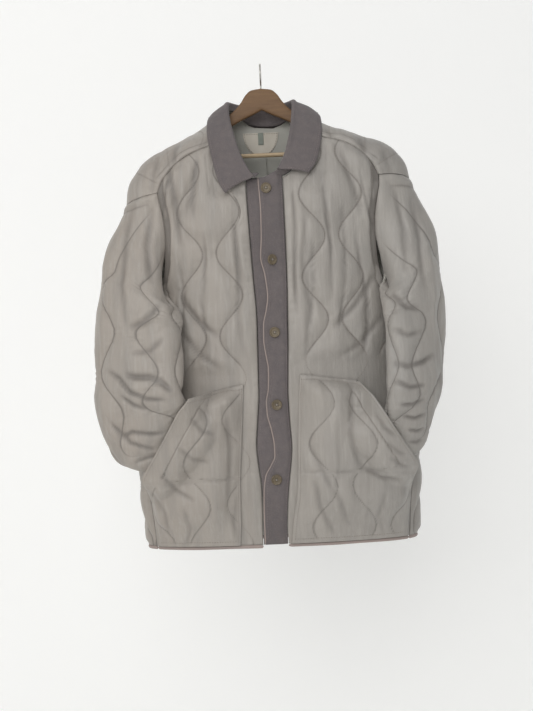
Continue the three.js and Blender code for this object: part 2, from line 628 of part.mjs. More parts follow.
const sleeveSkins = {};
function sleeve(side) {
  const { grid, puff } = sleeveGrid(side);
  const arrange = (row) => [...row].reverse();
  const base = grid.map(arrange);
  const height = puff.map((row) => arrange(row).map((lift) => lift + clothThickness));
  const outer = raise(base, gridNormals(base, true), height);
  sleeveSkins[side.name] = outer.flat();
  const turn = (list) => list.map((row) => (side.sign > 0 ? row : arrange(row)).map((p) => place(p, side.sign)));
  return wall(turn(outer), turn(coarseBelow(base, 3, sleeveRows - 3)), true);
}

const model = new THREE.Group();
function add(name, geometry, material) {
  const mesh = new THREE.Mesh(geometry, materials[material]);
  mesh.name = name;
  model.add(mesh);
  return mesh;
}

// How far forward a patch has to stand over the tucked sleeve: each of its points holds off a soft round.
function cuffFront(side, spot) {
  return Math.min(...sleeveSkins[side.name].map((p) => (
    p.y + ((p.x - spot.x) ** 2 + (p.z - spot.z) ** 2) / (2 * cuffRound))));
}

// A patch pocket on the +X side: rows from the hem to its top, columns from its inner edge to the mouth.
function pocket(side) {
  const size = pockets[side.name];
  const rows = 13;
  const columns = 10;
  const footShare = 0.45;
  const seamInset = 4;
  const grid = [];
  const puff = [];
  for (let r = 0; r <= rows; r += 1) {
    const up = r / rows;
    const low = up < footShare;
    const rise = low ? up / footShare : (up - footShare) / (1 - footShare);
    const outerZ = low ? mix(hemHeight, size.mouthFootHeight, rise) : mix(size.mouthFootHeight, size.outerTop, rise);
    const outerX = low ? mix(sideSeam(outerZ).x - seamInset, size.mouthFoot, rise * rise)
      : mix(size.mouthFoot, size.mouthTop, rise);
    const inner = lookUp(pocketEdges, 'z', mix(hemHeight, size.innerTop, up), side.name);
    grid.push([]);
    puff.push([]);
    for (let c = 0; c <= columns; c += 1) {
      const out = c / columns;
      const x = mix(inner, outerX, out);
      const z = mix(mix(hemHeight, size.innerTop, up), outerZ, out);
      const swing = 10 * Math.sin((2 * Math.PI * (z - side.crest)) / waveLength) * Math.sin(Math.PI * out);
      const atX = x + swing * Math.sin(Math.PI * up);
      const surface = frontSurface(atX, z);
      const closedSide = 1 - ease(0.84, 1, out) * (1 - ease(footShare - 0.1, footShare + 0.05, up));
      const fill = ease(0, 0.3, out) * ease(0.03, 0.3, up) * (1 - ease(0.9, 1, up)) * closedSide;
      surface.addScaledVector(surface.outward, clothThickness + pocketLift + pocketSwell * fill);
      surface.y = Math.min(surface.y, cuffFront(side, surface) - 2 * pocketLift);
      grid[r].push(surface);
      const edge = r === 0 || r === rows || c === 0 || c === columns;
      const share = ((out * 2.6) % 1);
      puff[r].push(edge ? 0 : puffHeight * 0.5 * Math.sin(Math.PI * share) ** 2);
    }
  }
  const placed = grid.map((row) => row.map((p) => place(p, side.sign)));
  const turned = side.sign > 0 ? placed : placed.map((row) => row.reverse());
  const lifts = side.sign > 0 ? puff : puff.map((row) => [...row].reverse());
  return quilted(turned, lifts, turned);
}

// The plain front surface at distance x from the centre, with its outward direction.
function frontSurface(x, z) {
  const spot = (at) => {
    const points = section(z, true);
    let i = 0;
    while (i < points.length - 2 && at > points[i + 1].x) i += 1;
    const share = (at - points[i].x) / (points[i + 1].x - points[i].x);
    return point(at, mix(points[i].y, points[i + 1].y, share), z);
  };
  const surface = spot(x);
  const along = spot(x + 4).sub(spot(x - 4)).normalize();
  surface.outward = point(along.y, -along.x, 0);
  return surface;
}

// A wool strip down one front edge: x positions in place, lift off the fronts' own surface.
function strip(edgeFrom, edgeTo, liftAt, top) {
  const rows = 26;
  const columns = 4;
  const grid = [];
  for (let r = 0; r <= rows; r += 1) {
    const z = mix(hemHeight, top, r / rows);
    grid.push([]);
    for (let c = 0; c <= columns; c += 1) {
      const x = mix(edgeFrom(z), edgeTo(z), c / columns);
      const y = lookUp(torso, 'z', z, 'front') + 0.0008 * x * x;
      grid[r].push(point(x, y - liftAt(c / columns), z));
    }
  }
  const normals = gridNormals(grid);
  normals[0].forEach((normal) => normal.setZ(0).normalize());
  return wall(raise(grid, normals, stripThickness), coarse(grid, 1, 2));
}

// The neckline of one half at a share of its length from the centre back, moved into the neck hole.
function neckSeam(side, share) {
  const backEdge = backs[side.name].grid.at(-1).slice(0, shoulderFirst);
  const frontEdge = fronts[side.name].grid.at(-1).slice(0, neckColumn + 1).reverse();
  const middle = frontEdge.at(-1).clone().setX(15);
  const line = [...backEdge, ...frontEdge, middle].map((p) => place(p, side.sign));
  const lengths = line.map((p, i) => (i ? p.distanceTo(line[i - 1]) : 0));
  let rest = share * lengths.reduce((sum, length) => sum + length, 0);
  let i = 1;
  while (i < line.length - 1 && rest > lengths[i]) {
    rest -= lengths[i];
    i += 1;
  }
  const spot = line[i - 1].clone().lerp(line[i], Math.min(1, rest / lengths[i]));
  const inwards = point(jacketShift, -30, -100).sub(spot).normalize();
  spot.addScaledVector(inwards, neckGap);
  const arm = lookUp(hangerTop, 'x', Math.abs(spot.x) - 5, 'z') + 2 * armClearance;
  spot.z += Math.max(0, arm - spot.z) * ease(16, 8, Math.abs(spot.y));
  return spot;
}

// Move a point off the quilted panels, out along the direction of the nearest of their points.
function liftOff(p) {
  const nearest = bodySkin.reduce((best, item) => {
    const distance = p.distanceToSquared(item.spot);
    return distance < best.distance ? { distance, item } : best;
  }, { distance: Infinity }).item;
  const off = p.clone().sub(nearest.spot).dot(nearest.normal);
  return off < fallGap ? p.addScaledVector(nearest.normal, fallGap - off) : p;
}

// The collar: columns round the neck from the viewer's left front edge, rows over its roll.
function collar() {
  const last = collarStations.length - 1;
  const columnsPerHalf = 13;
  const grid = [[], [], [], [], [], [], [], [], []];
  for (let c = -columnsPerHalf; c <= columnsPerHalf; c += 1) {
    const t = (Math.abs(c) / columnsPerHalf) * last;
    const value = (column) => lookUp(collarStations, 't', t, column);
    const sign = Math.sign(c);
    const settle = sign > 0 ? ease(3, 7, t) : 0;
    const seam = neckSeam(sides[sign < 0 ? 'left' : 'right'], t / last);
    const roll = point(value('rx') * sign + value('lean'), value('ry'), value('rz') + settle * rollRightLift);
    const edge = point(value('ex') * sign + 3, value('ey'), value('ez') + settle * collarRightLift);
    const out = point(edge.x - roll.x, edge.y - roll.y, 0).normalize();
    const fold = collarFold;
    const over = roll.clone().addScaledVector(out, fold).add(point(0, 0, -fold));
    const under = roll.clone().addScaledVector(out, -fold).add(point(0, 0, -fold));
    const bulge = out.clone().add(point(0, 0, 1)).normalize().multiplyScalar(3);
    grid[0].push(seam);
    grid[1].push(seam.clone().lerp(under, 0.55));
    grid[2].push(under);
    grid[3].push(roll);
    grid[4].push(over);
    [0.25, 0.5, 0.75, 1].forEach((share, i) => {
      grid[5 + i].push(liftOff(over.clone().lerp(edge, share).addScaledVector(bulge, Math.sin(Math.PI * share))));
    });
  }
  const normals = gridNormals(grid);
  return wall(raise(grid, normals, collarThickness), thin(grid, 2));
}

const toSolid = (geometry) => {
  const bare = geometry.clone();
  bare.deleteAttribute('normal');
  bare.deleteAttribute('uv');
  const merged = mergeVertices(bare, 1e-3);
  const vertProperties = new Float32Array(merged.getAttribute('position').array);
  const triVerts = new Uint32Array(merged.getIndex().array);
  return new wasm.Manifold(new wasm.Mesh({ numProp: 3, vertProperties, triVerts }));
};

const toGeometry = (solid) => {
  const mesh = solid.getMesh();
  const geometry = new THREE.BufferGeometry();
  geometry.setAttribute('position', new THREE.BufferAttribute(new Float32Array(mesh.vertProperties), 3));
  geometry.setIndex(new THREE.BufferAttribute(new Uint32Array(mesh.triVerts), 1));
  return geometry;
};

// A four-hole button with a raised rim, its face towards -Y.
function button() {
  const r = buttonRadius;
  const h = buttonThickness;
  const profile = [[0, 0], [r - 0.8, 0], [r, 0.9], [r - 0.4, h], [r - 2, h], [r - 3, h - 0.9], [0, h - 0.9]];
  let solid = toSolid(new THREE.LatheGeometry(profile.map(([x, y]) => new THREE.Vector2(x, y)), 12));
  for (let i = 0; i < 4; i += 1) {
    const angle = Math.PI / 4 + (i * Math.PI) / 2;
    const hole = new THREE.CylinderGeometry(buttonHoleRadius, buttonHoleRadius, 4 * h, 5);
    hole.translate(2.2 * Math.cos(angle), 0, 2.2 * Math.sin(angle));
    solid = solid.subtract(toSolid(hole));
  }
  return toGeometry(solid).rotateX(Math.PI);
}

// The hanger's wood, drilled for its bar.
function hangerWood() {
  const shape = new THREE.Shape();
  const bevel = 2;
  const top = hangerTop.map((p) => [p.x, p.z]);
  const foot = hangerFoot.map((p) => [p.x, p.z]);
  const right = [...top, ...foot];
  const left = right.slice(1, -1).map(([x, z]) => [-x, z]).reverse();
  [...right, ...left].reverse().forEach(([x, z], i) => (i ? shape.lineTo(x, z) : shape.moveTo(x, z)));
  const wood = new THREE.ExtrudeGeometry(shape, {
    depth: woodThickness - 2 * bevel, bevelThickness: bevel, bevelSize: bevel, bevelOffset: -bevel, bevelSegments: 1,
  });
  wood.translate(0, 0, -woodThickness / 2 + bevel).rotateX(Math.PI / 2);
  return toGeometry(toSolid(wood).subtract(toSolid(bar(barRadius + seamGap, barHalfLength + seamGap))));
}

function bar(radius, half) {
  return new THREE.CylinderGeometry(radius, radius, 2 * half, 12).rotateZ(Math.PI / 2).translate(0, 0, barHeight);
}

// The wire hook, in the plane square to the hanger: up in front, over, and down behind.
function hook() {
  const centre = -hookRadius + wireRadius;
  const shank = [point(0, 0, hangerTop[0].z + seamGap), point(0, 0, centre - hookRadius - 2.5)];
  const bend = [];
  for (let degrees = -75; degrees <= 155; degrees += 23) {
    const a = radians(degrees);
    bend.push(point(0, -hookRadius * Math.cos(a), centre + hookRadius * Math.sin(a)));
  }
  const path = new THREE.CatmullRomCurve3([...shank, ...bend], false, 'centripetal');
  const ring = new THREE.Shape();
  ring.absarc(0, 0, wireRadius, 0, 2 * Math.PI);
  return new THREE.ExtrudeGeometry(ring, { steps: 22, curveSegments: 4, extrudePath: path });
}

// A thin piece that lies on the inside of the back neck, `lift` in front of it.
function neckPiece(top, foot, halfWidthAt, lift, thickness) {
  const rows = 6;
  const columns = 4;
  const grid = [];
  for (let r = 0; r <= rows; r += 1) {
    const z = mix(foot, top, r / rows);
    grid.push([]);
    for (let c = 0; c <= columns; c += 1) {
      const x = mix(-1, 1, c / columns) * halfWidthAt((z - foot) / (top - foot));
      const back = sectionPoint(z, Math.abs(x), false);
      grid[r].push(point(x + neckPieceShift, back.y - lift, z));
    }
  }
  return wall(grid.map((row) => row.map((p) => point(p.x, p.y - thickness, p.z))), coarse(grid, 2, 2));
}

// The bound edge below one panel's hem: a narrow wall along the panel's own lowest points.
function binding(points) {
  const lowest = hemHeight - seamGap - bindingHeight;
  const line = (z) => points.map((p) => point(p.x, p.y, z));
  const grid = [line(lowest), line(mix(lowest, hemHeight - seamGap, 0.5)), line(hemHeight - seamGap)];
  const normals = gridNormals(grid);
  const inner = raise(grid, normals, -0.6);
  return wall(raise(grid, normals, [grid[0].map(() => 2.8), grid[1].map(() => 3.6), grid[2].map(() => 2.8)]), inner);
}

add('back', wholeBack(), 'nylon');
for (const side of Object.values(sides)) {
  add(`front_${side.name}`, front(side), 'nylon');
  add(`sleeve_${side.name}`, sleeve(side), 'nylon');
  add(`pocket_${side.name}`, pocket(side), 'nylon');
  const hemLine = fronts[side.name].grid[0].map((p) => place(p, side.sign));
  add(`binding_${side.name}`, binding(side.sign > 0 ? hemLine : hemLine.reverse()), 'binding');
}
const backHem = [
  ...backs.right.grid[0].map((p) => place(p, 1)).reverse(),
  ...backs.left.grid[0].slice(1).map((p) => place(p, -1)),
];
add('binding_back', binding(backHem), 'binding');

const frontEdge = (side, z) => side.sign * lookUp(frontEdges, 'z', z, side.name) + jacketShift;
const overlapEdge = (z) => lookUp(overlap, 'z', z, 'x');
const overSeam = (z) => frontEdge(sides.right, z) - 5 * seamGap;
const underEnd = (z) => Math.min(underEdge, mix(overlapEdge(z), overSeam(z), 0.6));
const overLift = stripThickness + seamGap * 3;
add('placket_under', strip((z) => frontEdge(sides.left, z) + 3 * seamGap, underEnd, () => 0, stripTop), 'wool');
add('placket_over', strip(overlapEdge, overSeam, (share) => overLift * (1 - ease(0.75, 1, share)), stripTop), 'wool');
add('collar', collar(), 'wool');

buttonSpots.forEach(([x, z], i) => {
  const chest = Math.min(...[-1, 0, 1].map((n) => lookUp(torso, 'z', z + n * buttonRadius, 'front')));
  const y = chest - overLift - stripThickness - buttonStandOff;
  add(`button_${i + 1}`, button(), 'horn').position.set(x, y, z);
});

const roundFoot = (share) => Math.max(3, 33 * Math.sqrt(1 - (1 - share) ** 2));
add('neck_patch', neckPiece(-118, -160, roundFoot, 0.9, 1), 'patch');
add('neck_loop', neckPiece(-118, -140, () => 5, 2.3, 1), 'tab');

add('hanger', hangerWood(), 'wood');
add('hanger_bar', bar(barRadius, barHalfLength), 'dowel');
add('hanger_hook', hook(), 'wire');

export default model;
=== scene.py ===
import math

import bmesh
import bpy
import numpy as np
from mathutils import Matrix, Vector


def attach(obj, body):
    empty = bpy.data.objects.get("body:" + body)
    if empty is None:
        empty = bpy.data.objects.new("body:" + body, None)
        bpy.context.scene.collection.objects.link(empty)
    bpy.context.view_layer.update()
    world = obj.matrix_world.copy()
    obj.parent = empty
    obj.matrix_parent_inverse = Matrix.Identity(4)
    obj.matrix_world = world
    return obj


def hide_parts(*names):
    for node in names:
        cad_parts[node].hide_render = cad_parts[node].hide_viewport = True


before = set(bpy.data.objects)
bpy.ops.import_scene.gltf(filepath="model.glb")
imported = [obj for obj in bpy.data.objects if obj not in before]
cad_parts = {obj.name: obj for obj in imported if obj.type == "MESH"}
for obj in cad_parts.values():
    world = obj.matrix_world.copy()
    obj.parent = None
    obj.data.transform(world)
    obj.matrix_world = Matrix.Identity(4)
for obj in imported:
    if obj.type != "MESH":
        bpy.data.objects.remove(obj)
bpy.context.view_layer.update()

# The photograph's view: a level camera in front of the jacket, a little more than two metres away.
# The picture is turned by two and a half degrees, so the jacket leans in it.
# A pale wall and floor catch the light of four large soft lamps.
VIEW_DISTANCE = 2.3
VIEW_CENTRE = Vector((-0.011, 0.0, -0.536))
VIEW_HEIGHT = 1.315
PICTURE_LEAN = math.radians(2.5)

camera = bpy.data.objects.new("camera", bpy.data.cameras.new("camera"))
bpy.context.scene.collection.objects.link(camera)
camera.location = VIEW_CENTRE + Vector((0, -VIEW_DISTANCE, 0))
camera.rotation_euler = (math.pi / 2, PICTURE_LEAN, 0)
camera.data.sensor_fit = "VERTICAL"
camera.data.sensor_height = 36
camera.data.lens = 36 * VIEW_DISTANCE / VIEW_HEIGHT
bpy.context.scene.camera = camera


class Value:
    """One output of a shader node, so that shader maths reads as plain expressions."""

    def __init__(self, tree, socket):
        self.tree, self.socket = tree, socket

    def maths(self, operation, *values):
        node = self.tree.nodes.new("ShaderNodeMath")
        node.operation = operation
        for place, value in zip(node.inputs, values):
            if isinstance(value, Value):
                self.tree.links.new(value.socket, place)
            else:
                place.default_value = value
        return Value(self.tree, node.outputs[0])

    def __add__(self, other):
        return self.maths("ADD", self, other)

    def __radd__(self, other):
        return self.maths("ADD", other, self)

    def __sub__(self, other):
        return self.maths("SUBTRACT", self, other)

    def __rsub__(self, other):
        return self.maths("SUBTRACT", other, self)

    def __mul__(self, other):
        return self.maths("MULTIPLY", self, other)

    def __rmul__(self, other):
        return self.maths("MULTIPLY", other, self)

    def __truediv__(self, other):
        return self.maths("DIVIDE", self, other)

    def __pow__(self, other):
        return self.maths("POWER", self, other)

    def clamp(self, low=0.0, high=1.0):
        return self.maths("MINIMUM", self.maths("MAXIMUM", self, low), high)


class Finish:
    """A material whose nodes are added one after another and end in one Principled shader."""

    def __init__(self, name, colour, **settings):
        self.material = bpy.data.materials.new(name)
        self.material.use_nodes = True
        self.material.diffuse_color = (*colour, 1)
        self.tree = self.material.node_tree
        self.shader = self.tree.nodes["Principled BSDF"]
        self.shader.inputs["Base Color"].default_value = (*colour, 1)
        for key, value in settings.items():
            self.shader.inputs[key.replace("_", " ")].default_value = value

    def node(self, kind, settings=None, output=0, **values):
        made = self.tree.nodes.new(kind)
        for key, value in (settings or {}).items():
            setattr(made, key, value)
        for key, value in values.items():
            place = made.inputs[key.replace("_", " ")]
            if isinstance(value, Value):
                self.tree.links.new(value.socket, place)
            else:
                place.default_value = value
        return Value(self.tree, made.outputs[output])

    def place(self):
        return self.node("ShaderNodeTexCoord", output=3)

    def stretched(self, size):
        return self.node("ShaderNodeMapping", Vector=self.place(), Scale=size)

    def noise(self, scale, detail=2.0, rough=0.5, at=None):
        at = at or self.place()
        return self.node("ShaderNodeTexNoise", Vector=at, Scale=scale, Detail=detail, Roughness=rough)

    def attribute(self, name):
        return self.node("ShaderNodeAttribute", {"attribute_name": name}, output=2)

    def blend(self, factor, first, second, mode="MIX"):
        made = self.tree.nodes.new("ShaderNodeMix")
        made.data_type = "RGBA"
        made.blend_type = mode
        for place, value in ((made.inputs[0], factor), (made.inputs[6], first), (made.inputs[7], second)):
            if isinstance(value, Value):
                self.tree.links.new(value.socket, place)
            elif isinstance(value, tuple):
                place.default_value = (*value, 1)
            else:
                place.default_value = value
        return Value(self.tree, made.outputs[2])

    def feed(self, **values):
        for key, value in values.items():
            self.tree.links.new(value.socket, self.shader.inputs[key.replace("_", " ")])

    def bump(self, height, distance, strength=1.0, under=None):
        settings = {"Height": height, "Distance": distance, "Strength": strength}
        made = self.node("ShaderNodeBump", **settings)
        if under is not None:
            self.tree.links.new(under.socket, made.socket.node.inputs["Normal"])
        return made


studio = Finish("studio_paint", (0.88, 0.88, 0.87), Roughness=0.9, Emission_Strength=0.16)
studio.shader.inputs["Emission Color"].default_value = (1.0, 1.0, 0.985, 1)
studio.feed(Roughness=(studio.noise(3.0) * 0.06 + 0.87))


def stage_sheet(name, corners):
    mesh = bpy.data.meshes.new(name)
    mesh.from_pydata(corners, [], [(0, 1, 2, 3)])
    made = bpy.data.objects.new(name, mesh)
    made.data.materials.append(studio.material)
    bpy.context.scene.collection.objects.link(made)


stage_sheet("studio_wall", [(-4, 0.9, -1.7), (4, 0.9, -1.7), (4, 0.9, 2.5), (-4, 0.9, 2.5)])
stage_sheet("studio_floor", [(-4, -4, -1.7), (4, -4, -1.7), (4, 0.9, -1.7), (-4, 0.9, -1.7)])


def lamp(name, spot, size, energy, colour):
    light = bpy.data.lights.new(name, "AREA")
    light.shape = "RECTANGLE"
    light.size, light.size_y = size
    light.energy = energy
    light.color = colour
    made = bpy.data.objects.new(name, light)
    made.location = spot
    made.rotation_euler = (Vector((0, 0, -0.45)) - Vector(spot)).to_track_quat("-Z", "Y").to_euler()
    bpy.context.scene.collection.objects.link(made)


lamp("lamp_front", (-0.7, -3.4, 0.6), (2.0, 1.8), 50, (1.0, 0.995, 0.985))
lamp("lamp_left", (-2.5, -1.5, 0.5), (1.1, 1.5), 15, (1.0, 0.98, 0.95))
lamp("lamp_right", (2.6, -1.4, 0.1), (1.1, 1.5), 5, (0.97, 0.985, 1.0))
lamp("lamp_top", (0.0, -1.3, 1.9), (2.0, 1.0), 12, (1.0, 1.0, 1.0))

world = bpy.data.worlds.new("studio_air")
world.use_nodes = True
world.node_tree.nodes["Background"].inputs[0].default_value = (0.93, 0.94, 0.95, 1)
world.node_tree.nodes["Background"].inputs[1].default_value = 0.32
bpy.context.scene.world = world
bpy.context.scene.view_settings.view_transform = "Standard"

# The body cloth: two layers of pale nylon with flat wadding, quilted in facing waves.
# Its form is worked out once here, in millimetres, and each panel is a part of it.
# Columns are counted in thirds of a quilted cell, so every third column is a line of stitching.
CLOTH = 2.5
SEAM = 0.3
PITCH = 69
LINE_START = 7
SWING = 22
WAVE = 150
JACKET_SHIFT = 5
HEM = -876
ARMPIT = -425
SHOULDER_END = 200
SEAM_ANGLE = 66
LEAST = 4
ROUNDNESS = 2.4
LOW_ROWS = 21
HIGH_ROWS = 11
OVER_ROWS = 8
NECK_COLUMN = 3
SHOULDER_FIRST = 4
SIDES = {"left": (-1, -275), "right": (1, -249)}


def table(names, *rows):
    return {name: np.array([row[i] for row in rows], float) for i, name in enumerate(names.split())}


TORSO = table(
    "z side side_y front back",
    (-890, 246, 16, -58, 56), (-840, 250, 18, -63, 60), (-770, 255, 20, -67, 63), (-690, 254, 22, -68, 65),
    (-600, 240, 24, -68, 67), (-500, 228, 26, -68, 68), (-425, 222, 24, -68, 68), (-340, 220, 20, -70, 68),
    (-260, 220, 15, -70, 64), (-200, 220, 10, -65, 56), (-150, 220, 5, -50, 44), (-100, 220, 0, -34, 34),
)
ARMHOLE_FRONT = table("z x y", (-425, 203, -24), (-360, 192, -36), (-300, 190, -45), (-235, 200, -52))
ARMHOLE_BACK = table("z x y", (-425, 203, -24), (-395, 208, 14), (-340, 202, 34), (-250, 200, 44))
FRONT_TOP = table(
    "x z", (0, -222), (31, -216), (60, -186), (78, -140), (106, -150), (136, -160), (162, -175), (190, -205),
    (204, -235),
)
FRONT_EDGES = table(
    "z left right",
    (-900, 36, 9), (-850, 36, 9), (-810, 34.5, 11), (-770, 35, 15), (-741, 38, 19), (-700, 41, 23),
    (-654, 37, 21), (-610, 33, 20), (-560, 32, 22), (-510, 31, 24), (-470, 30.5, 25), (-390, 34, 27),
    (-293, 38, 27), (-200, 41, 27),
)
POCKET_EDGES = table(
    "z left right", (-876, 77, 15), (-840, 74, 19), (-771, 73, 30), (-690, 67, 34), (-575, 59, 42),
)
BACK_TURN = table("w z", (0, -112), (0.32, -160), (0.6, -200), (1, -250))
RIDGE = table(
    "w x z", (0, 78, -101.5), (0.32, 150, -135), (0.58, 209, -159), (0.72, 238, -183), (0.86, 254, -212),
    (1, 260, -240),
)
NECK_TURN = table("c x end", (0, 0, 172), (1, 34, 158), (2, 67, 104), (3, 74, 76), (4, 78, 0))
HANGER_TOP = table(
    "x z", (0, -43), (18, -45.5), (29, -54), (37, -66), (46, -77), (62, -91), (80, -104), (110, -121),
    (150, -139.5), (194, -160), (204, -170),
)


def smooth(rows, key, at, column):
    x, y = rows[key], rows[column]
    if x[-1] < x[0]:
        x, y = x[::-1], y[::-1]
    at = np.clip(at, x[0], x[-1])
    rise = np.diff(y) / np.diff(x)
    slope = np.zeros(len(x))
    both = rise[:-1] * rise[1:]
    total = rise[:-1] + rise[1:]
    slope[1:-1] = np.where(both > 0, 2 * both / np.where(total == 0, 1, total), 0)
    slope[0], slope[-1] = rise[0], rise[-1]
    i = np.clip(np.searchsorted(x, at, "right") - 1, 0, len(x) - 2)
    span = x[i + 1] - x[i]
    t = (at - x[i]) / span
    ends = (2 * t**3 - 3 * t**2 + 1) * y[i] + (3 * t**2 - 2 * t**3) * y[i + 1]
    return ends + (t**3 - 2 * t**2 + t) * span * slope[i] + (t**3 - t**2) * span * slope[i + 1]


def ease(low, high, value):
    t = np.clip((value - low) / (high - low), 0, 1)
    return t * t * (3 - 2 * t)


def mix(a, b, t):
    return a + (b - a) * t


def bell(value, half):
    return np.exp(-((value / half) ** 2))


def rounded(value):
    return np.sign(value) * np.abs(value) ** (2 / ROUNDNESS)


def body_arc(angle, middle, side_y, far_y):
    c = np.cos(np.radians(angle))
    depth = np.where(c >= 0, middle - side_y, side_y - far_y)
    return rounded(np.sin(np.radians(angle))), side_y + rounded(c) * depth


def side_seam(z):
    side_y = smooth(TORSO, "z", z, "side_y")
    x, y = body_arc(SEAM_ANGLE, smooth(TORSO, "z", z, "front"), side_y, 0 * side_y)
    return smooth(TORSO, "z", z, "side") * x, y


for edge_rows in (ARMHOLE_FRONT, ARMHOLE_BACK):
    edge_rows["x"][0], edge_rows["y"][0] = side_seam(np.array(float(ARMPIT)))


def section(z, front):
    """Level sections of the front or back half: x, y and distance round, one row for each height."""
    z = np.atleast_1d(np.asarray(z, float))[:, None]
    middle = smooth(TORSO, "z", z, "front" if front else "back")
    other = smooth(TORSO, "z", z, "back" if front else "front")
    side_y = smooth(TORSO, "z", z, "side_y")
    edges = ARMHOLE_FRONT if front else ARMHOLE_BACK
    seam_x, seam_y = side_seam(z)
    above = z > ARMPIT
    edge_x = np.where(above, smooth(edges, "z", z, "x"), seam_x)
    edge_y = np.where(above, smooth(edges, "z", z, "y"), seam_y)
    full = SEAM_ANGLE if front else 180 - SEAM_ANGLE
    last = mix(full, 60 if front else 66, ease(ARMPIT, ARMPIT + 90, z))
    end_x, end_y = body_arc(last, middle, side_y, other)
    x, y = body_arc(last * np.linspace(0, 1, 57)[None, :], middle, side_y, other)
    span = np.where(np.abs(middle - end_y) < 1e-6, 1, middle - end_y)
    x, y = edge_x * x / end_x, mix(middle, edge_y, (middle - y) / span)
    steps = np.hypot(np.diff(x, axis=1), np.diff(y, axis=1))
    return x, y, np.concatenate([np.zeros((len(x), 1)), np.cumsum(steps, axis=1)], axis=1)


def on_section(z, s, front):
    x, y, along = section(z, front)
    s = np.clip(s, 0, along[:, -1])
    px = np.array([np.interp(s[i], along[i], x[i]) for i in range(len(z))])
    py = np.array([np.interp(s[i], along[i], y[i]) for i in range(len(z))])
    return np.stack([px, py, z], axis=-1)


def quilt_line(index, z, start, crest):
    swing = SWING if index % 2 == 0 else -SWING
    return start + PITCH * index + swing * np.cos(2 * np.pi * (z - crest) / WAVE)


def column_at(c, z, front, side, trim=0.3):
    """Distance round the body of column c at heights z, and the width of its cell."""
    edge = section(z, front)[2][:, -1] - trim
    crest = SIDES[side][1]
    start = LINE_START if front else 0
    count = 3 if front else 4
    lines = [np.minimum(quilt_line(k, z, start, crest), edge + 1) for k in range(1, count + 1)]
    first = smooth(FRONT_EDGES, "z", z, side) + SEAM if front else quilt_line(0, z, 0, crest)
    marks = [first, *lines, edge]
    last = 3 * (len(marks) - 1)
    cell = min(int(c // 3), len(marks) - 2)
    s = mix(marks[cell], marks[cell + 1], c / 3 - cell)
    return np.minimum(s, edge - (last - c) * LEAST), marks[cell + 1] - marks[cell]


def row_heights(top, rows):
    low = rows <= LOW_ROWS
    return np.where(low, mix(HEM, ARMPIT, rows / LOW_ROWS), mix(ARMPIT, top, (rows - LOW_ROWS) / HIGH_ROWS))


def front_top(x, sign):
    return smooth(FRONT_TOP, "x", x, "z") + sign * 0.04 * x * ease(60, 110, x)


def front_half(side, rows, columns):
    """Base points of a front on the +X side, its cell widths, and distances round the body."""
    sign = SIDES[side][0]
    points, widths, rounds = [], [], []
    for c in columns:
        top = -200.0
        for _ in range(12):
            z = np.array([top])
            x = on_section(z, column_at(c, z, True, side, 0)[0], True)[0, 0]
            top = mix(top, float(front_top(SHOULDER_END if c == columns[-1] else x, sign)), 0.7)
        z = row_heights(top, rows)
        s, width = column_at(c, z, True, side)
        points.append(on_section(z, s, True))
        widths.append(width)
        rounds.append(s)
    return np.stack(points, 1), np.stack(widths, 1), np.stack(rounds, 1)


def back_half(side, rows, columns):
    sign = SIDES[side][0]
    whole = columns[-1]
    top_columns = np.linspace(0, 12, 97)
    front_row = front_half(side, np.array([float(LOW_ROWS + HIGH_ROWS)]), top_columns)[0][0]
    count = whole - SHOULDER_FIRST
    matched = count - 2 * (count - (12 - NECK_COLUMN))
    points, widths, rounds = [], [], []
    for c in columns:
        j = c - SHOULDER_FIRST
        w = np.clip(j / count, 0, 1)
        over = np.clip(c - 3, 0, 1)
        top = mix(-106, float(smooth(BACK_TURN, "w", w, "z")), over)
        top = mix(top - 8, top, min(1, c / SHOULDER_FIRST) ** 2)
        body = rows[rows <= LOW_ROWS + HIGH_ROWS]
        z = row_heights(top, body)
        s, width = column_at(c, z, False, side)
        points_up = on_section(z, s, False)
        start = points_up[-1]
        where = NECK_COLUMN + max(j, 0) if j <= matched else NECK_COLUMN + matched + (j - matched) / 2
        goal = np.array([np.interp(where, top_columns, front_row[:, i]) for i in range(3)])
        goal[0] = mix(start[0], goal[0], over)
        goal[2] += SEAM
        crest_x = float(smooth(RIDGE, "w", w, "x") if c >= 4 else smooth(NECK_TURN, "c", c, "x"))
        crest_z = float(smooth(RIDGE, "w", w, "z")) + sign * 12 * w * w
        if w < 0.5:
            arm = float(smooth(HANGER_TOP, "x", abs(sign * crest_x + JACKET_SHIFT), "z"))
            raised = max(crest_z, arm + 3 + 8 * (1 - float(ease(0, 0.2, w))))
            crest_z = mix(crest_z, raised, float(ease(1.2, 2, c)))
        end = math.radians(float(smooth(NECK_TURN, "c", c, "end"))) if c < 4 else 0.0
        share = (rows[rows > LOW_ROWS + HIGH_ROWS] - LOW_ROWS - HIGH_ROWS) / OVER_ROWS
        angle = mix(math.pi, end, share)[:, None]
        middle = (start + goal) / 2
        turned = middle + (goal - start) * np.cos(angle) / 2
        turned = turned + (np.array([crest_x, -2, crest_z]) - middle) * np.sin(angle)
        points.append(np.concatenate([points_up, turned]))
        widths.append(np.concatenate([width, np.full(len(share), PITCH * 0.8)]))
        rounds.append(np.concatenate([s, np.full(len(share), s[-1])]))
    return np.stack(points, 1), np.stack(widths, 1), np.stack(rounds, 1)


# The quilting is drawn on the fine form: each cell is a soft pillow between two lines of stitching.
# Small puckers run off each line, and the pillows are uneven, as hand-filled wadding is.
# What lies on a panel or hangs with it is then pushed in or out by a table of creases.
ROWS_PER = 5
COLUMNS_PER = 6
PUFF = 6.0
LINE_HALF = 2.4
STITCH_LIFT = 0.3


def unit(vectors):
    return vectors / np.maximum(np.linalg.norm(vectors, axis=-1, keepdims=True), 1e-9)


